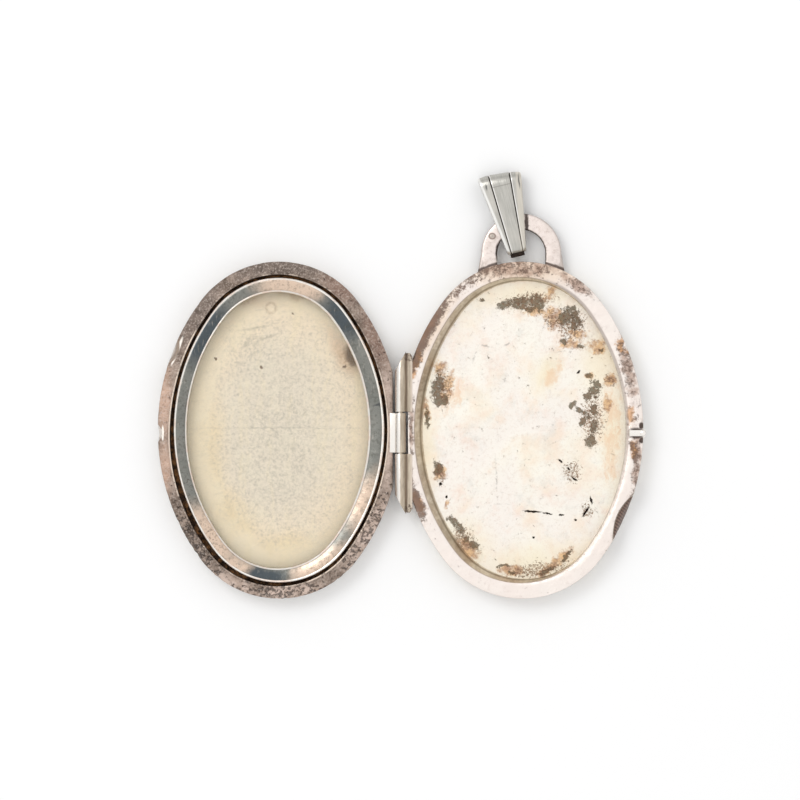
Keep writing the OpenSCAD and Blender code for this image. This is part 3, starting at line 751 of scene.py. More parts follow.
def aged_paper():
    """Cream paper with fine grey fibre, yellowed edges and a few foxed spots."""
    m, shade = new_material("Aged paper")
    place = m.place()
    wavy = m.warp(place, 0.35, 2.2)
    centre = m.reach(wavy, FRONT_X, 0.0, HALF_W - 3.0, HALF_L - 3.0)
    tone = m.mix(m.step(centre, 0.45, 0.95), (0.80, 0.715, 0.60), finish("paper"))
    tone = m.mix(m.step(centre, 0.84, 1.0), tone, finish("paper_edge"))
    warm = m.spots(wavy, ((-32.0, -3.0, 2.4, 9.0), (-24.0, -12.4, 8.0, 2.2), (-29.5, -9.0, 3.0, 4.0, 30)), 1.4, 0.2)
    tone = m.mix(warm * 0.55, tone, (0.80, 0.64, 0.36))
    pinkish = m.spots(wavy, ((-25.4, 13.2, 4.4, 1.2), (-18.0, 9.6, 1.6, 3.6, 20)), 1.4, 0.3)
    tone = m.mix(pinkish * 0.8, tone, (0.66, 0.40, 0.25))
    fibre = m.noise(place, 3.4, 8.0, 0.9)
    tone = m.mix(m.step(fibre, 0.48, 0.6) * 0.6, tone, (0.40, 0.36, 0.31))
    # Painted light: the card's edge is brightened to cancel the shade that the bezel's well casts on it
    tone = m.mix(m.step(centre, 0.78, 0.98) * 0.75, tone, (1.0, 0.89, 0.70))
    crescent = m.step(m.reach(wavy, FRONT_X + 1.6, -0.5, HALF_W - 2.6, HALF_L - 3.0), 0.86, 0.93)
    tone = m.mix(crescent * m.step(m.noise(wavy, 0.2, 2.0), 0.3, 0.6) * 0.6, tone, (0.90, 0.80, 0.62))
    grey = m.spots(wavy, ((-27.2, 7.6, 2.6, 3.2), (-24.4, -1.0, 4.4, 8.0)), 1.5, 0.0)
    tone = m.mix(grey * m.step(fibre, 0.42, 0.6) * 0.35, tone, (0.36, 0.35, 0.31))
    cloud = m.noise(place, 0.5, 4.0, 0.6)
    tone = m.mix(m.step(cloud, 0.45, 0.75) * 0.3, tone, (0.86, 0.80, 0.64))
    strips = m.noise(m.stretch(wavy, (1.5, 0.06, 1.0)), 0.9, 2.0)
    tone = m.mix(m.step(strips, 0.5, 0.7) * 0.25, tone, (0.90, 0.78, 0.52))
    pencil = m.spots(m.warp(place, 2.5, 0.5), (
        (-26.6, 10.2, 1.5, 0.16, 10), (-25.4, 9.2, 1.3, 0.14, 20), (-27.4, 8.8, 0.2, 0.7, -30),
        (-24.2, 0.2, 7.0, 0.05)), 1.5, 0.2)
    tone = m.mix(pencil * 0.32, tone, (0.20, 0.20, 0.18))
    stain = m.spots(m.warp(place, 2.0, 0.7), (
        (-16.9, 7.4, 0.7, 1.1, 20), (-17.7, 6.3, 0.16, 0.16), (-26.0, 6.2, 0.16, 0.14),
        (-30.6, 7.1, 0.13, 0.13), (-22.8, 11.6, 0.12, 0.12)), 1.4, 0.6)
    rusty = m.spots(m.warp(place, 1.2, 1.2), (
        (-17.2, 7.2, 1.4, 2.0, 20), (-22.4, 13.6, 2.6, 0.6, -12), (-27.6, 13.0, 2.0, 0.6, 20)), 1.4, 0.2)
    tone = m.mix(rusty * m.step(fibre, 0.3, 0.62) * 0.7, tone, (0.50, 0.29, 0.16))
    tone = m.mix(stain * 0.92, tone, (0.12, 0.06, 0.035))
    dimple = m.reach(m.warp(place, 1.5, 0.2), -25.0, 12.2, 0.5, 0.5)
    ring = 1.0 - m.step(abs(dimple - 1.0), 0.1, 0.42)
    tone = m.mix(ring * m.step(fibre, 0.36, 0.6) * 0.5, tone, (0.40, 0.27, 0.17))
    return shade(Base_Color=tone, Roughness=0.62, Specular_IOR_Level=0.3,
                 Normal=m.bump(fibre * 0.4 + cloud - ring * 0.6, 0.05))


def clear_film():
    """Thin clear plastic, a little yellow, with faint rubbing marks."""
    m, shade = new_material("Clear film")
    place = m.place()
    haze = m.noise(m.stretch(place, (0.5, 2.0, 1.0)), 0.9, 5.0, 0.7)
    tone = m.mix(haze, finish("film"), (0.86, 0.82, 0.68))
    return shade(Base_Color=tone, Roughness=0.08 + haze * 0.14, Alpha=0.08 + m.step(haze, 0.5, 0.8) * 0.06,
                 IOR=1.49)


def hinge_silver():
    """Silver of the hinge and the catch: painted highlight on the knuckles' left halves and painted shade low down on
    them, bright silver on the catch nib, brown where the solder has tarnished.
    """
    m, shade = new_material("Hinge silver")
    place = m.place()
    across = m.across(place)
    cloud = m.noise(place, 1.3, 4.0, 0.6)
    lines = m.noise(m.stretch(place, (3.0, 0.35, 1.0)), 1.6, 5.0, 0.7)
    tone = m.mix(m.step(lines, 0.35, 0.65), (0.62, 0.53, 0.42), (0.42, 0.35, 0.27))
    # Painted highlight: the knuckles' left halves, which face the key light, are painted bright; the catch nib is
    # bright silver too
    rubbed = m.step(across + (cloud - 0.5) * 0.15, HINGE.x + 0.02, HINGE.x - 0.1)
    highlight_and_bright_nib = rubbed.maths("MAXIMUM", m.step(across, 5.0, 6.0))
    tone = m.mix(highlight_and_bright_nib, tone, (0.88, 0.84, 0.79))
    pale = m.step(across, HINGE.x + 0.85, HINGE.x + 1.2) * (1.0 - m.step(across, 0.0, 1.0))
    tone = m.mix(pale * 0.7, tone, (0.80, 0.69, 0.60))
    seam = 1.0 - m.step(abs(across - (HINGE.x + 0.62)), 0.02, 0.14)
    tone = m.mix(seam * 0.75, tone, (0.10, 0.06, 0.04))
    ends = m.spots(m.warp(place, 2.5, 0.5), (
        (HINGE.x + 0.7, 7.3, 0.9, 0.5, -30), (HINGE.x + 0.7, -7.8, 0.9, 0.5, 30)), 1.4, 0.5)
    speck = m.noise(place, 3.6, 5.0, 0.75)
    spotted = m.step(speck + ends * 0.22, 0.66, 0.78)
    tone = m.mix(spotted * 0.85, tone, (0.11, 0.07, 0.05))
    # Painted shade: the lower parts of the knuckles, down by the leaves, are darkened almost to black
    low = m.step(m.height(place), HINGE.z - 0.2, HINGE.z - 0.45)
    tone = m.mix(low * 0.9, tone, (0.04, 0.025, 0.018))
    return shade(Base_Color=tone, Metallic=1.0 - spotted * 0.5, Roughness=0.3 - highlight_and_bright_nib * 0.06 + spotted * 0.3,
                 Normal=m.bump(cloud * 0.5 + lines * 0.4 - spotted * 0.3, 0.025))


def loop_silver():
    """Satin pinkish silver of the loop, dark along its inner edge and grey along its outer one, darker towards the
    bottom and at the joints of its soldered feet, with a painted shadow of the bail and a dark mark at the left leg's
    inner edge.
    """
    m, shade = new_material("Loop silver")
    place = m.place()
    wavy = m.warp(place, 2.0, 0.3)
    cloud = m.noise(place, 1.1, 5.0, 0.65)
    tone = m.mix(m.step(cloud, 0.35, 0.7), (0.86, 0.765, 0.715), (0.74, 0.65, 0.60))
    fleck = m.noise(place, 2.6, 6.0, 0.8)
    tone = m.mix(m.step(fleck, 0.5, 0.66) * 0.6, tone, (0.52, 0.42, 0.37))
    size = bpy.context.scene.locket_bail
    inner = size.loop_radius - size.loop_wire
    from_middle = m.reach(wavy, LOOP.x, LOOP.y, 1.0, 1.0)
    edge = 1.0 - m.step(from_middle, inner + 0.06, inner + 0.2)
    tone = m.mix(edge * 0.85, tone, (0.06, 0.04, 0.03))
    outer = m.step(from_middle, size.loop_radius - 0.16, size.loop_radius)
    tone = m.mix(outer * 0.5, tone, (0.38, 0.33, 0.30))
    joint = 1.0 - m.step(abs(m.reach(wavy, 0.0, END_Y, END_R, END_R) - 1.012), 0.006, 0.024)
    tone = m.mix(joint * 0.85, tone, (0.08, 0.05, 0.04))
    # Painted shadow of the bail on the loop beside its right side, and a dark mark at the inner edge of the left leg
    bail_shadow_and_mark = m.spots(wavy, ((0.48, 20.7, 0.2, 1.1, 2), (-2.4, 17.9, 0.22, 0.8, -8)), 1.4, 0.6)
    tone = m.mix(bail_shadow_and_mark * 0.95, tone, (0.05, 0.035, 0.03))
    nub = m.reach(place, LOOP.x - 2.9, LOOP.y + 1.75, 0.34, 0.3)
    rim = m.mix(m.step(nub, 0.5, 1.0), (0.50, 0.44, 0.39), (0.24, 0.18, 0.15))
    tone = m.mix(1.0 - m.step(nub, 0.9, 1.3), tone, rim)
    low = m.step(m.height(place), 1.36, 1.0)
    tone = m.mix(low * 0.7, tone, (0.20, 0.16, 0.14))
    return shade(Base_Color=tone, Metallic=1.0 - (edge * 0.3), Roughness=0.36 + joint * 0.2,
                 Normal=m.bump(cloud * 0.8 + fleck * 0.2, 0.04))


def bail_silver():
    """Grey silver of the bail, brushed along its length, with painted highlights beside its grooves and down its left
    edge, dark lines in its grooves and painted shade along the bend's crease.
    """
    m, shade = new_material("Bail silver")
    size = bpy.context.scene.locket_bail
    place = m.place()
    local = m.node("ShaderNodeMapping", {"vector_type": "TEXTURE"}, {
        "Vector": place, "Location": (LOOP.x, LOOP.y, LOOP.z), "Rotation": (0, 0, size.lean)})
    brushed = m.noise(m.stretch(local, (9.0, 0.35, 2.0)), 1.1, 5.0, 0.6)
    cloud = m.noise(local, 0.5, 3.0)
    tone = m.mix(m.step(brushed, 0.3, 0.7), finish("grey"), (0.56, 0.545, 0.505))
    tone = m.mix(m.step(cloud, 0.4, 0.8) * 0.4, tone, (0.70, 0.66, 0.60))
    across = m.across(local) - size.shift
    along = m.along(local)
    share = along / size.length
    line = share * (size.top_groove - size.tail_groove) + size.tail_groove
    half = share * ((size.top_width - size.tail_width) / 2) + size.tail_width / 2
    for side in (-1, 1):
        away = across - line * side
        # Painted highlight: a bright line along the edge of each groove; a dark line runs along the groove's bottom
        groove_highlight = 1.0 - m.step(abs(away - 0.1), 0.015, 0.075)
        tone = m.mix(groove_highlight * 0.85, tone, (0.95, 0.93, 0.89))
        cut = 1.0 - m.step(abs(away + 0.01), 0.02, 0.1)
        tone = m.mix(cut * 0.85, tone, (0.09, 0.065, 0.05))
    # Painted highlight down the bail's left edge
    left = 1.0 - m.step(across + half, 0.22, 0.4)
    tone = m.mix(left * 0.8, tone, (0.95, 0.94, 0.91))
    right = m.step(across - half, -0.7, -0.45)
    tone = m.mix(right * 0.55, tone, (0.78, 0.72, 0.62))
    # Painted shade along the crease where the flat face turns into the bend
    crease_shade = (1.0 - m.step(abs(along - (size.length - 1.05)), 0.02, 0.07)) * (1.0 - m.step(abs(across), 0.75, 1.2))
    tone = m.mix(crease_shade * 0.5, tone, (0.22, 0.20, 0.18))
    streak = m.spots(m.warp(local, 1.0, 0.3), ((1.45, 7.1, 0.1, 0.75, -8), (-1.9, 7.2, 0.1, 0.3)), 1.4, 0.4)
    tone = m.mix(streak * 0.8, tone, (0.10, 0.10, 0.10))
    worn = m.noise(place, 3.0, 4.0, 0.7)
    spotted = m.step(worn, 0.66, 0.78)
    tone = m.mix(spotted * 0.4, tone, (0.25, 0.20, 0.16))
    return shade(Base_Color=tone, Metallic=1.0, Roughness=0.3 + brushed * 0.1,
                 Normal=m.bump(brushed + cloud * 1.5, 0.025))


def tail_shade():
    """Near-black painted shade for the block under the bail's tail, where the fold's open end lies in shade."""
    m, shade = new_material("Groove dirt")
    place = m.place()
    cloud = m.noise(place, 2.0, 4.0, 0.7)
    tone = m.mix(m.step(cloud, 0.4, 0.75), finish("soot_and_shade"), (0.05, 0.03, 0.02))
    return shade(Base_Color=tone, Metallic=0.0, Roughness=0.75, Specular_IOR_Level=0.2,
                 Normal=m.bump(cloud, 0.05))


# ---- Pieces ----

def shell_profile(border=()):
    """Open profile of a cover, from its outer face round the edge to the floor inside."""
    edge_in, edge_up, wall = 1.3, 0.95, 0.5
    turns = [math.pi / 2 * i / 12 for i in range(13)]
    outside = [(edge_in - edge_in * math.sin(t), edge_up - edge_up * math.cos(t)) for t in turns]
    inside = [(edge_in - (edge_in - wall) * math.sin(t), edge_up - (edge_up - FLOOR) * math.cos(t)) for t in turns]
    return [*border, (1.6, 0), *outside, (0, 1.5), (0, WALL_TOP), (wall, WALL_TOP), *reversed(inside),
            (2.2, FLOOR), (2.6, FLOOR)]


def press_in(bm, middle, reach_at, blend=1.1):
    """Presses the edge of a leaf in to a circle about a place outside it."""
    for v in bm.verts:
        inset = max(0, inset_of(v.co.x, v.co.y))
        away = Vector((v.co.x, v.co.y, 0)) - middle
        short = reach_at(v.co.z) - (away.length - inset)
        if short > 0 and inset < blend:
            length = reach_at(v.co.z) + inset * (1 - short / blend)
            here = middle + away.normalized() * length
            v.co.x, v.co.y = here.x, here.y


def press_scoop(bm, y, length, depth, height):
    """Presses a thumbnail scoop into the free edge."""
    dip = depth - length ** 2 / (8 * SIDE_R)
    radius = ((length / 2) ** 2 + dip ** 2) / (2 * dip)
    turn = math.asin(y / SIDE_R)
    middle = Vector((math.cos(turn), math.sin(turn), 0)) * (SIDE_R + radius - depth) - Vector((SIDE_X, 0, 0))
    press_in(bm, middle, lambda z: radius - depth * max(0, RIM - z) / height)


def press_notch(bm, y, width, depth):
    """Presses the catch nib's notch into the free edge."""
    radius = ((width / 2) ** 2 + depth ** 2) / (2 * depth)
    press_in(bm, Vector((edge_x(y) + radius - depth, y, 0)), lambda z: radius - max(0, WALL_TOP - 0.9 - z))


def solid_oval(bm, inset, low, high, step):
    """A plate in the shape of the oval, with rounded edges."""
    edge = [(inset + 0.6, low), (inset, low), (inset, high - 0.04), (inset + 0.04, high), (inset + 0.6, high)]
    oval_sweep(bm, edge, step, closed=False)
    close_floor(bm)


class LOCKET_OT_back_leaf(bpy.types.Operator):
    """Model the back cover and its band"""
    bl_idname = "locket.back_leaf"
    bl_label = "Back leaf"

    def execute(self, context):
        size = context.scene.locket_leaf
        bm = bmesh.new()
        oval_sweep(bm, shell_profile(), size.step, closed=False)
        close_floor(bm)
        press_scoop(bm, BACK_SCOOP_Y, 5.2, COVER_CUT, 1.4)
        flatten_hinge_side(bm)
        ripple(bm, size.floor_wave, 4.0, lambda co: co.z > FLOOR - 0.05 and inset_of(co.x, co.y) > 2.2)
        for face in bm.faces:
            middle = face.calc_center_median()
            at_scoop = middle.x > 0 and abs(middle.y - BACK_SCOOP_Y + 0.15) < 3.2
            if at_scoop and middle.z > 0.7 and inset_of(middle.x, middle.y) < 2.0:
                face.material_index = 1
        finish_mesh(bm, "back_cover_shell", cover_silver(), "back_leaf", ("back_cover",),
                    more=(scoop_silver(),))

        bm = bmesh.new()
        band = size.back_band
        corners = [(0, WALL_TOP), (0, RIM), (band, RIM), (band + size.recess_lean, FLOOR), (band + 0.1, FLOOR),
                   (1.0, WALL_TOP)]
        rounded = soften(corners, 0.07)
        oval_sweep(bm, [(p.x, p.y) for p in rounded], size.step)
        bmesh.ops.subdivide_edges(bm, edges=[e for e in bm.edges if e.calc_length() > 0.8], cuts=4)
        press_scoop(bm, BACK_SCOOP_Y, 5.2, BACK_BAND_CUT, 2.2)
        flatten_hinge_side(bm)
        # The recess lies a little to the left, and its wall leans to the right
        outer_part, left_shift, lean_shift = 0.6, 0.22, 0.5
        for v in bm.verts:
            share = max(0, min(1, (inset_of(v.co.x, v.co.y) - outer_part) / (band - outer_part)))
            v.co.x += share * (lean_shift * (RIM - v.co.z) / (RIM - FLOOR) - left_shift)
        ripple(bm, 0.02, 2.6, lambda co: co.z > RIM - 0.1, 3.0)
        # The inner edge falls away, so that the bezel clears it when the locket is shut
        for v in bm.verts:
            fall = 0.75 * max(0, inset_of(v.co.x, v.co.y) - band + 0.05)
            v.co.z = min(v.co.z, RIM - fall if v.co.z > RIM - 0.3 else RIM)
        finish_mesh(bm, "back_band_ring", band_silver(), "back_leaf", ("back_seat_ring",))
        return {"FINISHED"}


def front_edge_wear(co):
    """How much the front leaf's edge is nicked at a place, before it is mirrored."""
    low = max(0, min(1, (-co.y - 4) / 6))
    return 0.25 + low * (1.0 if co.x > 2 else 0.7)


class LOCKET_OT_front_leaf(bpy.types.Operator):
    """Model the front cover and its tarnished band"""
    bl_idname = "locket.front_leaf"
    bl_label = "Front leaf"

    def execute(self, context):
        size = context.scene.locket_leaf
        border = [(4.3, 0), (4.1, 0.0), (4.0, 0.09), (3.9, 0.0), (3.0, 0.0), (2.9, 0.09), (2.8, 0.0)]
        bm = bmesh.new()
        oval_sweep(bm, shell_profile(border), size.step, closed=False)
        close_floor(bm)
        press_scoop(bm, FRONT_SCOOP_Y, 2.8, COVER_CUT, 1.1)
        press_notch(bm, **NOTCH)
        flatten_hinge_side(bm)
        wear_edge(bm, size.edge_wear, front_edge_wear)
        to_front(bm)
        finish_mesh(bm, "front_cover_shell", cover_silver_front(), "front_leaf", ("front_cover",))

        bm = bmesh.new()
        band, inner = size.front_band, size.front_band - size.groove
        lip = inner - size.lip
        corners = [(0, WALL_TOP), (0, 2.12), (lip, 2.24), (lip + 0.01, RIM), (inner - 0.03, RIM), (inner, 1.5),
                   (band + 0.02, 1.45), (band + 0.02, FLOOR), (1.0, FLOOR), (1.0, WALL_TOP)]
        rounded = soften(corners, 0.05)
        oval_sweep(bm, [(p.x, p.y) for p in rounded], size.step)
        across_top = [e for e in bm.edges if 0.8 < e.calc_length() < 1.15
                      and abs(e.verts[0].co.z - e.verts[1].co.z) < 0.2]
        bmesh.ops.subdivide_edges(bm, edges=across_top, cuts=5)
        press_scoop(bm, FRONT_SCOOP_Y, 3.0, FRONT_BAND_CUT, 2.2)
        press_notch(bm, **NOTCH)
        flatten_hinge_side(bm)
        wear_edge(bm, size.edge_wear, front_edge_wear)
        for v in bm.verts:
            inset = inset_of(v.co.x, v.co.y)
            if 0.05 < inset < lip - 0.05 and v.co.z > 2.0:
                v.co.z -= 0.09 * max(0, noise.noise(v.co * 1.3)) + 0.03 * max(0, noise.noise(v.co * 4.0))
        for v in bm.verts:
            inset = inset_of(v.co.x, v.co.y)
            if lip - 0.1 < inset < band:
                open_side = max(0, math.cos(math.atan2(v.co.y, v.co.x) + 0.75)) ** 3
                v.co += Vector((v.co.x, v.co.y * 0.6, 0)).normalized() * 0.24 * open_side
        to_front(bm)
        finish_mesh(bm, "front_band_ring", band_tarnished(), "front_leaf", ("front_seat_ring",))
        return {"FINISHED"}


class LOCKET_OT_bezel(bpy.types.Operator):
    """Model the bezel, with a bead along each of its edges"""
    bl_idname = "locket.bezel"
    bl_label = "Bezel"

    def execute(self, context):
        size, leaf = context.scene.locket_bezel, context.scene.locket_leaf
        outer = leaf.front_band
        inner = outer + size.width
        high = CROWN - 0.03
        start, stop = outer + 0.26, inner - size.bead - 0.02
        low = high - size.slope
        face = []
        for i in range(9):
            t = i / 8
            face.append((start + (stop - start) * t, high - 0.02 - size.slope * t + size.crown * 4 * t * (1 - t)))
        profile = [(outer, WINDOW_TOP), (outer, 1.9), (outer, 2.38), (outer + 0.03, 2.46), (outer + 0.1, high - 0.01),
                   (outer + 0.17, high - 0.01), (outer + 0.22, high - 0.04), *face,
                   (stop + 0.03, low), (stop + 0.07, low + 0.05), (stop + 0.13, low + 0.07), (stop + 0.19, low + 0.04),
                   (inner, low - 0.05), (inner, 1.7), (inner, WINDOW_TOP)]
        bm = bmesh.new()
        oval_sweep(bm, profile, leaf.step)
        beads = (0.24, inner - outer - size.bead - 0.0)
        for face_ in bm.faces:
            middle = face_.calc_center_median()
            inset = inset_of(middle.x, middle.y) - outer
            if middle.z > 2.2 and (inset < beads[0] or inset > beads[1]):
                face_.material_index = 1
        ripple(bm, 0.012, 3.0, lambda co: co.z > 2.2 and co.z < high - 0.01, 7.0)
        for v in bm.verts:
            v.co.x += 0.15 * (inset_of(v.co.x, v.co.y) - outer) / size.width
        to_front(bm)
        finish_mesh(bm, "bezel_ring", bezel_silver(), "front_leaf", ("retaining_bezel",),
                    more=(bezel_bright(),))
        return {"FINISHED"}


class LOCKET_OT_picture(bpy.types.Operator):
    """Model the picture card and the clear window over it"""
    bl_idname = "locket.picture"
    bl_label = "Picture and window"

    def execute(self, context):
        size, leaf = context.scene.locket_bezel, context.scene.locket_leaf
        seat = leaf.front_band + 0.05
        well = leaf.front_band + size.width
        bm = bmesh.new()
        solid_oval(bm, seat, FLOOR, CARD_TOP - 0.02, leaf.step * 1.5)
        ripple(bm, 0.02, 3.0, lambda co: co.z > CARD_TOP - 0.1, 1.0)
        to_front(bm)
        finish_mesh(bm, "picture_card_paper", aged_paper(), "front_leaf", ("picture_card",))

        bm = bmesh.new()
        solid_oval(bm, seat, CARD_TOP + 0.02, WINDOW_TOP - 0.01, leaf.step * 1.5)
        for v in bm.verts:
            share = max(0, min(1, (inset_of(v.co.x, v.co.y) - well) / (HALF_W - well)))
            v.co.z += size.window_dome * (1 - (1 - share) ** 2)
        to_front(bm)
        finish_mesh(bm, "window_film", clear_film(), "front_leaf", ("window",))
        return {"FINISHED"}


def barrel(bm, y0, y1, radius, bore, slant_side=0):
    """A knuckle of the hinge: a tube along the hinge line, with one slanting end if asked."""
    ring = soften([(bore, y0), (radius, y0), (radius, y1), (bore, y1)], 0.05, closed=bore > 0)
    verts = [bm.verts.new((HINGE.x + p.x, p.y, HINGE.z)) for p in ring]
    edges = [bm.edges.new((verts[i - 1], verts[i])) for i in range(0 if bore else 1, len(verts))]
    bmesh.ops.spin(bm, geom=verts + edges, cent=HINGE, axis=(0, 1, 0), angle=math.tau, steps=48,
                   use_merge=True, use_duplicate=False)
    if slant_side:
        slant = bpy.context.scene.locket_hinge.slant
        tip = Vector((HINGE.x + radius, y1 if slant_side > 0 else y0, HINGE.z))
        normal = Vector((-math.cos(slant), slant_side * math.sin(slant), 0))
        everything = bm.verts[:] + bm.edges[:] + bm.faces[:]
        bmesh.ops.bisect_plane(bm, geom=everything, plane_co=tip, plane_no=normal, clear_outer=True)
        bmesh.ops.remove_doubles(bm, verts=bm.verts, dist=0.003)
        rim = [e for e in bm.edges if e.is_boundary]
        bmesh.ops.edgeloop_fill(bm, edges=rim)
        bmesh.ops.bevel(bm, geom=rim, offset=0.04, segments=2, profile=0.5, affect="EDGES", material=-1)


def revolve(bm, points, centre, axis):
    """Turns a line of points about an axis that both its ends lie on."""
    verts = [bm.verts.new(point) for point in points]
    edges = [bm.edges.new(verts[i:i + 2]) for i in range(len(verts) - 1)]
    bmesh.ops.spin(bm, geom=verts + edges, cent=centre, axis=axis, angle=math.tau, steps=32,
                   use_merge=True, use_duplicate=False)


def block(bm, low, high, bevel):
    """A block between two corners with bevelled edges."""
    low, high = Vector(low), Vector(high)
    place = Matrix.Translation((low + high) / 2) @ Matrix.Diagonal((*(high - low), 1))
    made = bmesh.ops.create_cube(bm, size=1, matrix=place)
    edges = list({e for v in made["verts"] for e in v.link_edges})
    bmesh.ops.bevel(bm, geom=edges, offset=bevel, segments=3, profile=0.5, affect="EDGES", material=-1)


def flange(bm, near, tip, reach, top):
    """A thin flange from a knuckle over the band, with one corner cut off."""
    toward = math.copysign(1, tip - near)
    corners = [(HINGE.x + 0.2, near), (-FLAT_X + reach, near), (-FLAT_X + reach, tip - toward * 0.55),
               (-FLAT_X + reach - 0.25, tip - toward * 0.15), (HINGE.x + 0.6, tip - toward * 0.15),
               (HINGE.x + 0.2, tip - toward * 0.85)]
    sheet = 0.14
    face = bm.faces.new([bm.verts.new((x, y, top - sheet)) for x, y in corners])
    grown = bmesh.ops.extrude_face_region(bm, geom=[face])["geom"]
    bmesh.ops.translate(bm, verts=[g for g in grown if isinstance(g, bmesh.types.BMVert)], vec=(0, 0, sheet))
    edges = list({e for g in grown if isinstance(g, bmesh.types.BMFace) for e in g.edges})
    bmesh.ops.bevel(bm, geom=edges, offset=0.06, segments=3, profile=0.5, affect="EDGES", material=-1)


# The hinge's and the catch's smaller sizes: reach of a solid web along a knuckle and its depth, the
# pin's setback from the slanting ends, and the nib's rise over the rim and its width over its height
WEB_END = 5.6
WEB_DEPTH = 0.32
PIN_SETBACK = 2.2
NIB_RISE = 0.07
NIB_SPREAD = 1.6


class LOCKET_OT_hinge(bpy.types.Operator):
    """Model the three knuckles, their flanges, the pin and the catch nib"""
    bl_idname = "locket.hinge"
    bl_label = "Hinge and catch"

    def execute(self, context):
        size = context.scene.locket_hinge
        material = hinge_silver()
        flange_top = RIM - 0.02
        for node, side in (("knuckle_upper", 1), ("knuckle_lower", -1)):
            low, high = box_mm(node)
            bm = bmesh.new()
            barrel(bm, low.y, high.y, size.radius, 0, side)
            near, far = (low.y, min(high.y, WEB_END)) if side > 0 else (max(low.y, -WEB_END), high.y)
            block(bm, (HINGE.x + 0.1, near, flange_top - WEB_DEPTH), (-FLAT_X, far, flange_top), 0.05)
            flange(bm, low.y if side > 0 else high.y, high.y if side > 0 else low.y, size.flange_reach, RIM + 0.02)
            finish_mesh(bm, node + "_barrel", material, "back_leaf", (node,))
        low, high = box_mm("knuckle_centre")
        bm = bmesh.new()
        barrel(bm, low.y, high.y, size.radius, 0.28)
        block(bm, (low.x, low.y, flange_top - WEB_DEPTH), (HINGE.x - 0.1, high.y, flange_top), 0.05)
        finish_mesh(bm, "knuckle_centre_barrel", material, "front_leaf", ("knuckle_centre",))

        low, high = box_mm("hinge_pin")
        bm = bmesh.new()
        low.y, high.y = low.y + PIN_SETBACK, high.y - PIN_SETBACK
        ring = [(0, low.y), (0.21, low.y), (0.25, low.y + 0.04), (0.25, high.y - 0.04), (0.21, high.y), (0, high.y)]
        revolve(bm, [(HINGE.x + x, y, HINGE.z) for x, y in ring], HINGE, (0, 1, 0))
        finish_mesh(bm, "hinge_pin_rod", material, "back_leaf", ("hinge_pin",))

        low, high = box_mm("catch_nib")
        y, radius = (low.y + high.y) / 2, (high.y - low.y) / 2
        end = high.x - radius
        middle = Vector((0, y, RIM + NIB_RISE - radius))
        turns = [math.pi / 2 * i / 8 for i in range(8)]
        arc = [(end + radius * math.sin(t) * 0.98, radius * math.cos(t)) for t in turns]
        ring = [(low.x, 0), (low.x, radius - 0.08), (low.x + 0.08, radius), *arc, (high.x, 0)]
        bm = bmesh.new()
        revolve(bm, [middle + Vector((x, 0, r)) for x, r in ring], middle, (1, 0, 0))
        for v in bm.verts:
            v.co.y = y + (v.co.y - y) * NIB_SPREAD
            v.co.z = max(v.co.z, WALL_TOP)
        stud = [(0, WALL_TOP), (radius, WALL_TOP), (radius, high.z - 0.06), (radius - 0.08, high.z), (0, high.z)]
        revolve(bm, [(end + r, y, z) for r, z in stud], (end, y, 0), UP)
        finish_mesh(bm, "catch_nib_bar", material, "back_leaf", ("catch_nib",))
        return {"FINISHED"}


class LOCKET_OT_loop(bpy.types.Operator):
    """Model the flat wire loop soldered to the back leaf"""
    bl_idname = "locket.loop"
    bl_label = "Loop"

    def execute(self, context):
        size = context.scene.locket_bail
        low, high = box_mm("bail_loop")
        inner, outer = size.loop_radius - size.loop_wire, size.loop_radius
        section = soften([(inner, low.z), (outer, low.z), (outer, high.z), (inner, high.z)], 0.22)
        bm = bmesh.new()
        foot_y = -1.6
        verts = [bm.verts.new((LOOP.x + p.x, LOOP.y + foot_y, p.y)) for p in section]
        edges = [bm.edges.new((verts[i - 1], verts[i])) for i in range(len(verts))]
        loop = edges
        for part in range(2):
            for _ in range(6):
                moved, loop = grow(bm, loop)
                bmesh.ops.translate(bm, verts=moved, vec=(0, (-foot_y if part == 0 else foot_y) / 6, 0))
            if part == 0:
                spun = bmesh.ops.spin(bm, geom=moved + loop, cent=(LOOP.x, LOOP.y, 0), axis=UP, angle=math.pi,
                                      steps=64, use_duplicate=False)
                loop = [g for g in spun["geom_last"] if isinstance(g, bmesh.types.BMEdge)]
        bmesh.ops.remove_doubles(bm, verts=bm.verts, dist=0.0005)
        for v in bm.verts:
            below = (LOOP.y - v.co.y) / -foot_y
            if below > 0:
                away = abs(v.co.x - LOOP.x)
                share = (away - inner) / size.loop_wire
                v.co.x += math.copysign(0.38 * share * below, v.co.x - LOOP.x)
                inside = END_Y + math.sqrt((END_R - 0.3) ** 2 - v.co.x ** 2)
                v.co.y = LOOP.y + (inside - LOOP.y) * below
        ends = [e for e in bm.edges if e.is_boundary]
        bmesh.ops.edgeloop_fill(bm, edges=ends)
        nub = Matrix.Translation((LOOP.x - 2.95, LOOP.y + 1.75, high.z - 0.22)) @ Matrix.Diagonal((0.33, 0.26, 0.25, 1))
        bmesh.ops.create_uvsphere(bm, u_segments=20, v_segments=12, radius=1, matrix=nub)
        finish_mesh(bm, "bail_loop_wire", loop_silver(), "back_leaf", ("bail_loop",), sharp=50)
        return {"FINISHED"}


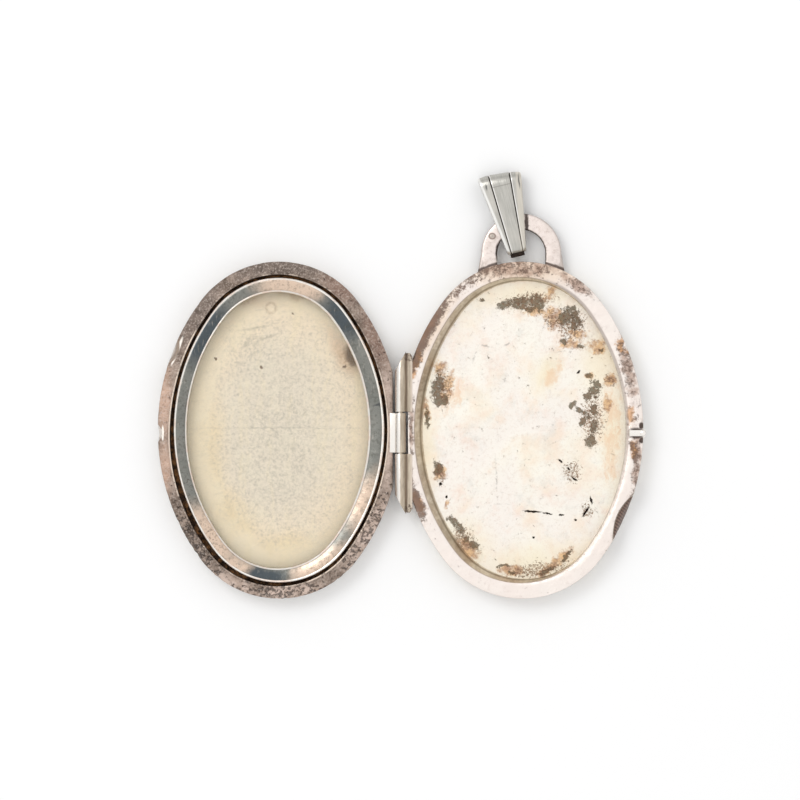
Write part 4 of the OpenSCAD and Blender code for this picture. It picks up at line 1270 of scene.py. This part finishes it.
class LOCKET_OT_bail(bpy.types.Operator):
    """Model the folded bail with its two V grooves"""
    bl_idname = "locket.bail"
    bl_label = "Bail"

    def execute(self, context):
        size = context.scene.locket_bail
        tail_r = 0.64
        tail_y, bend_y = 0.05 + tail_r, size.length - size.bend
        slope = math.asin((size.bend - tail_r) / (bend_y - tail_y))
        groove, edge = size.groove, 0.16
        # Points of the section, as shares of its half width and heights over its middle, from left to right
        right = [(0.2, 0), (0.44, 0), (0.47, -0.02), (0.5, -groove), (0.53, -0.02), (0.56, -0.01), (0.75, -0.06),
                 (0.96, -edge + 0.01), (1, -edge - 0.05)]
        face = [*((-u, h) for u, h in reversed(right)), (0, 0), *right]
        back = [(u, -size.sheet - 0.02 * abs(u)) for u in (1, 0.5, 0, -0.5, -1)]
        bm = bmesh.new()
        # The section stands where the front face leaves the tail, and is pushed along its slope
        up = Vector((0, -math.sin(slope), math.cos(slope)))
        along = Vector((0, math.cos(slope), math.sin(slope)))
        start = Vector((0, tail_y, 0)) + up * tail_r
        verts = [bm.verts.new(start + Vector((u, 0, 0)) + up * h) for u, h in face + back]
        loop = [bm.edges.new((verts[i - 1], verts[i])) for i in range(len(verts))]
        reach = (bend_y - tail_y) * math.cos(slope)
        moved = verts

        def push(moved, loop, vector, steps):
            for _ in range(steps):
                moved, loop = grow(bm, loop)
                bmesh.ops.translate(bm, verts=moved, vec=vector / steps)
            return moved, loop

        def turn(moved, loop, y, angle, steps):
            last = bmesh.ops.spin(bm, geom=moved + loop, cent=(0, y, 0), axis=(1, 0, 0), angle=-angle, steps=steps,
                                  use_duplicate=False)["geom_last"]
            return ([g for g in last if isinstance(g, bmesh.types.BMVert)],
                    [g for g in last if isinstance(g, bmesh.types.BMEdge)])

        moved, loop = push(moved, loop, along * reach, 40)
        moved, loop = turn(moved, loop, bend_y, math.pi + 2 * slope, 32)
        moved, loop = push(moved, loop, Vector((0, -along.y, along.z)) * reach, 40)
        moved, loop = turn(moved, loop, tail_y, math.pi - 2 * slope, 20)
        bmesh.ops.remove_doubles(bm, verts=bm.verts, dist=0.001)
        for v in bm.verts:
            share = max(0, v.co.y / size.length)
            half = (size.tail_width + (size.top_width - size.tail_width) * share) / 2 - 0.01
            corner = max(0, v.co.y - size.length + 0.75) / 0.75
            half -= 0.16 * corner ** 2
            middle = size.tail_groove + (size.top_groove - size.tail_groove) * share
            u = abs(v.co.x)
            x = u / 0.5 * middle if u < 0.5 else middle + (u - 0.5) / 0.5 * (half - middle)
            v.co.x = math.copysign(x, v.co.x)
            v.co.y += share ** 2 * (0.2 - 0.07 * v.co.x)
        plain = set(bm.faces)
        # A near-black block under the tail is painted shade, standing for the shaded open end of the fold
        block(bm, (-0.7, -0.2, -0.42), (0.7, 0.5, 0.42), 0.06)
        for face_ in set(bm.faces) - plain:
            face_.material_index = 1
        place = (Matrix.Translation(LOOP) @ Matrix.Rotation(size.lean, 4, "Z") @ Matrix.Translation((size.shift, 0, 0)))
        bmesh.ops.transform(bm, matrix=place, verts=bm.verts)
        finish_mesh(bm, "bail_fold", bail_silver(), "bail", ("bail",), sharp=24, more=(tail_shade(),))
        return {"FINISHED"}


class LOCKET_OT_stage(bpy.types.Operator):
    """Set up the pale floor, the soft light and the camera straight above"""
    bl_idname = "locket.stage"
    bl_label = "Stage"

    def execute(self, context):
        size = context.scene.locket_stage
        scene = context.scene
        table = CAD_BOX[0][2] - 0.00002  # just below the locket

        bm = bmesh.new()
        bmesh.ops.create_grid(bm, x_segments=2, y_segments=2, size=3.0)
        mesh = bpy.data.meshes.new("floor")
        bm.to_mesh(mesh)
        bm.free()
        floor = bpy.data.objects.new("floor", mesh)
        floor.location.z = table
        scene.collection.objects.link(floor)
        m, shade = new_material("Floor paper")
        mesh.materials.append(shade(Base_Color=(0.93, 0.93, 0.93), Roughness=0.9, Specular_IOR_Level=0.1))

        world = bpy.data.worlds.new("Studio")
        world.use_nodes = True
        world.node_tree.nodes.clear()
        m = Maker(world.node_tree)
        direction = m.node("ShaderNodeTexCoord", {}, output=0)
        upward = m.node("ShaderNodeSeparateXYZ", {}, [direction], 2)
        sky = m.mix(m.step(upward, 0.2, 0.9), (0.70, 0.70, 0.70), (1.0, 1.0, 1.0))
        m.node("ShaderNodeOutputWorld", {}, [m.node("ShaderNodeBackground", {}, [sky, 1.04])])
        scene.world = world

        middle = Vector((-0.01215, 0.003, 0))  # of the view
        light = bpy.data.lights.new("soft_key", "AREA")
        light.shape = "DISK"
        light.size = 0.35
        light.energy = size.key
        key = bpy.data.objects.new("soft_key", light)
        key.location = middle + Vector((-0.30, 0.28, 0.55))
        key.rotation_euler = (middle - key.location).to_track_quat("-Z", "Y").to_euler()
        scene.collection.objects.link(key)

        lens = bpy.data.cameras.new("overhead")
        lens.sensor_width = 36
        lens.lens = 36 * size.view_height / size.view_width
        lens.clip_start = 0.01
        camera = bpy.data.objects.new("overhead", lens)
        camera.location = middle + UP * size.view_height
        scene.collection.objects.link(camera)
        scene.camera = camera
        scene.view_settings.view_transform = "Standard"
        return {"FINISHED"}


PIECES = (LOCKET_OT_back_leaf, LOCKET_OT_front_leaf, LOCKET_OT_bezel, LOCKET_OT_picture, LOCKET_OT_hinge,
          LOCKET_OT_loop, LOCKET_OT_bail, LOCKET_OT_stage)
SETTINGS = {"locket_leaf": LeafSizes, "locket_bezel": BezelSizes, "locket_hinge": HingeSizes,
            "locket_bail": BailSizes, "locket_finishes": Finishes, "locket_stage": StageSizes}


class LOCKET_PT_panel(bpy.types.Panel):
    """Lists the locket's pieces"""
    bl_idname = "LOCKET_PT_panel"
    bl_label = "Locket"
    bl_space_type = "VIEW_3D"
    bl_region_type = "UI"
    bl_category = "Locket"

    def draw(self, context):
        for piece in PIECES:
            self.layout.operator(piece.bl_idname)


def register():
    for group in SETTINGS.values():
        bpy.utils.register_class(group)
    for name, group in SETTINGS.items():
        setattr(bpy.types.Scene, name, bpy.props.PointerProperty(type=group))
    for each in (*PIECES, LOCKET_PT_panel):
        bpy.utils.register_class(each)


def unregister():
    for each in reversed((*PIECES, LOCKET_PT_panel)):
        bpy.utils.unregister_class(each)
    for name in SETTINGS:
        delattr(bpy.types.Scene, name)
    for group in reversed(list(SETTINGS.values())):
        bpy.utils.unregister_class(group)


def main():
    register()
    for piece in PIECES:
        group, action = piece.bl_idname.split(".")
        getattr(getattr(bpy.ops, group), action)()


if __name__ == "__main__":
    main()
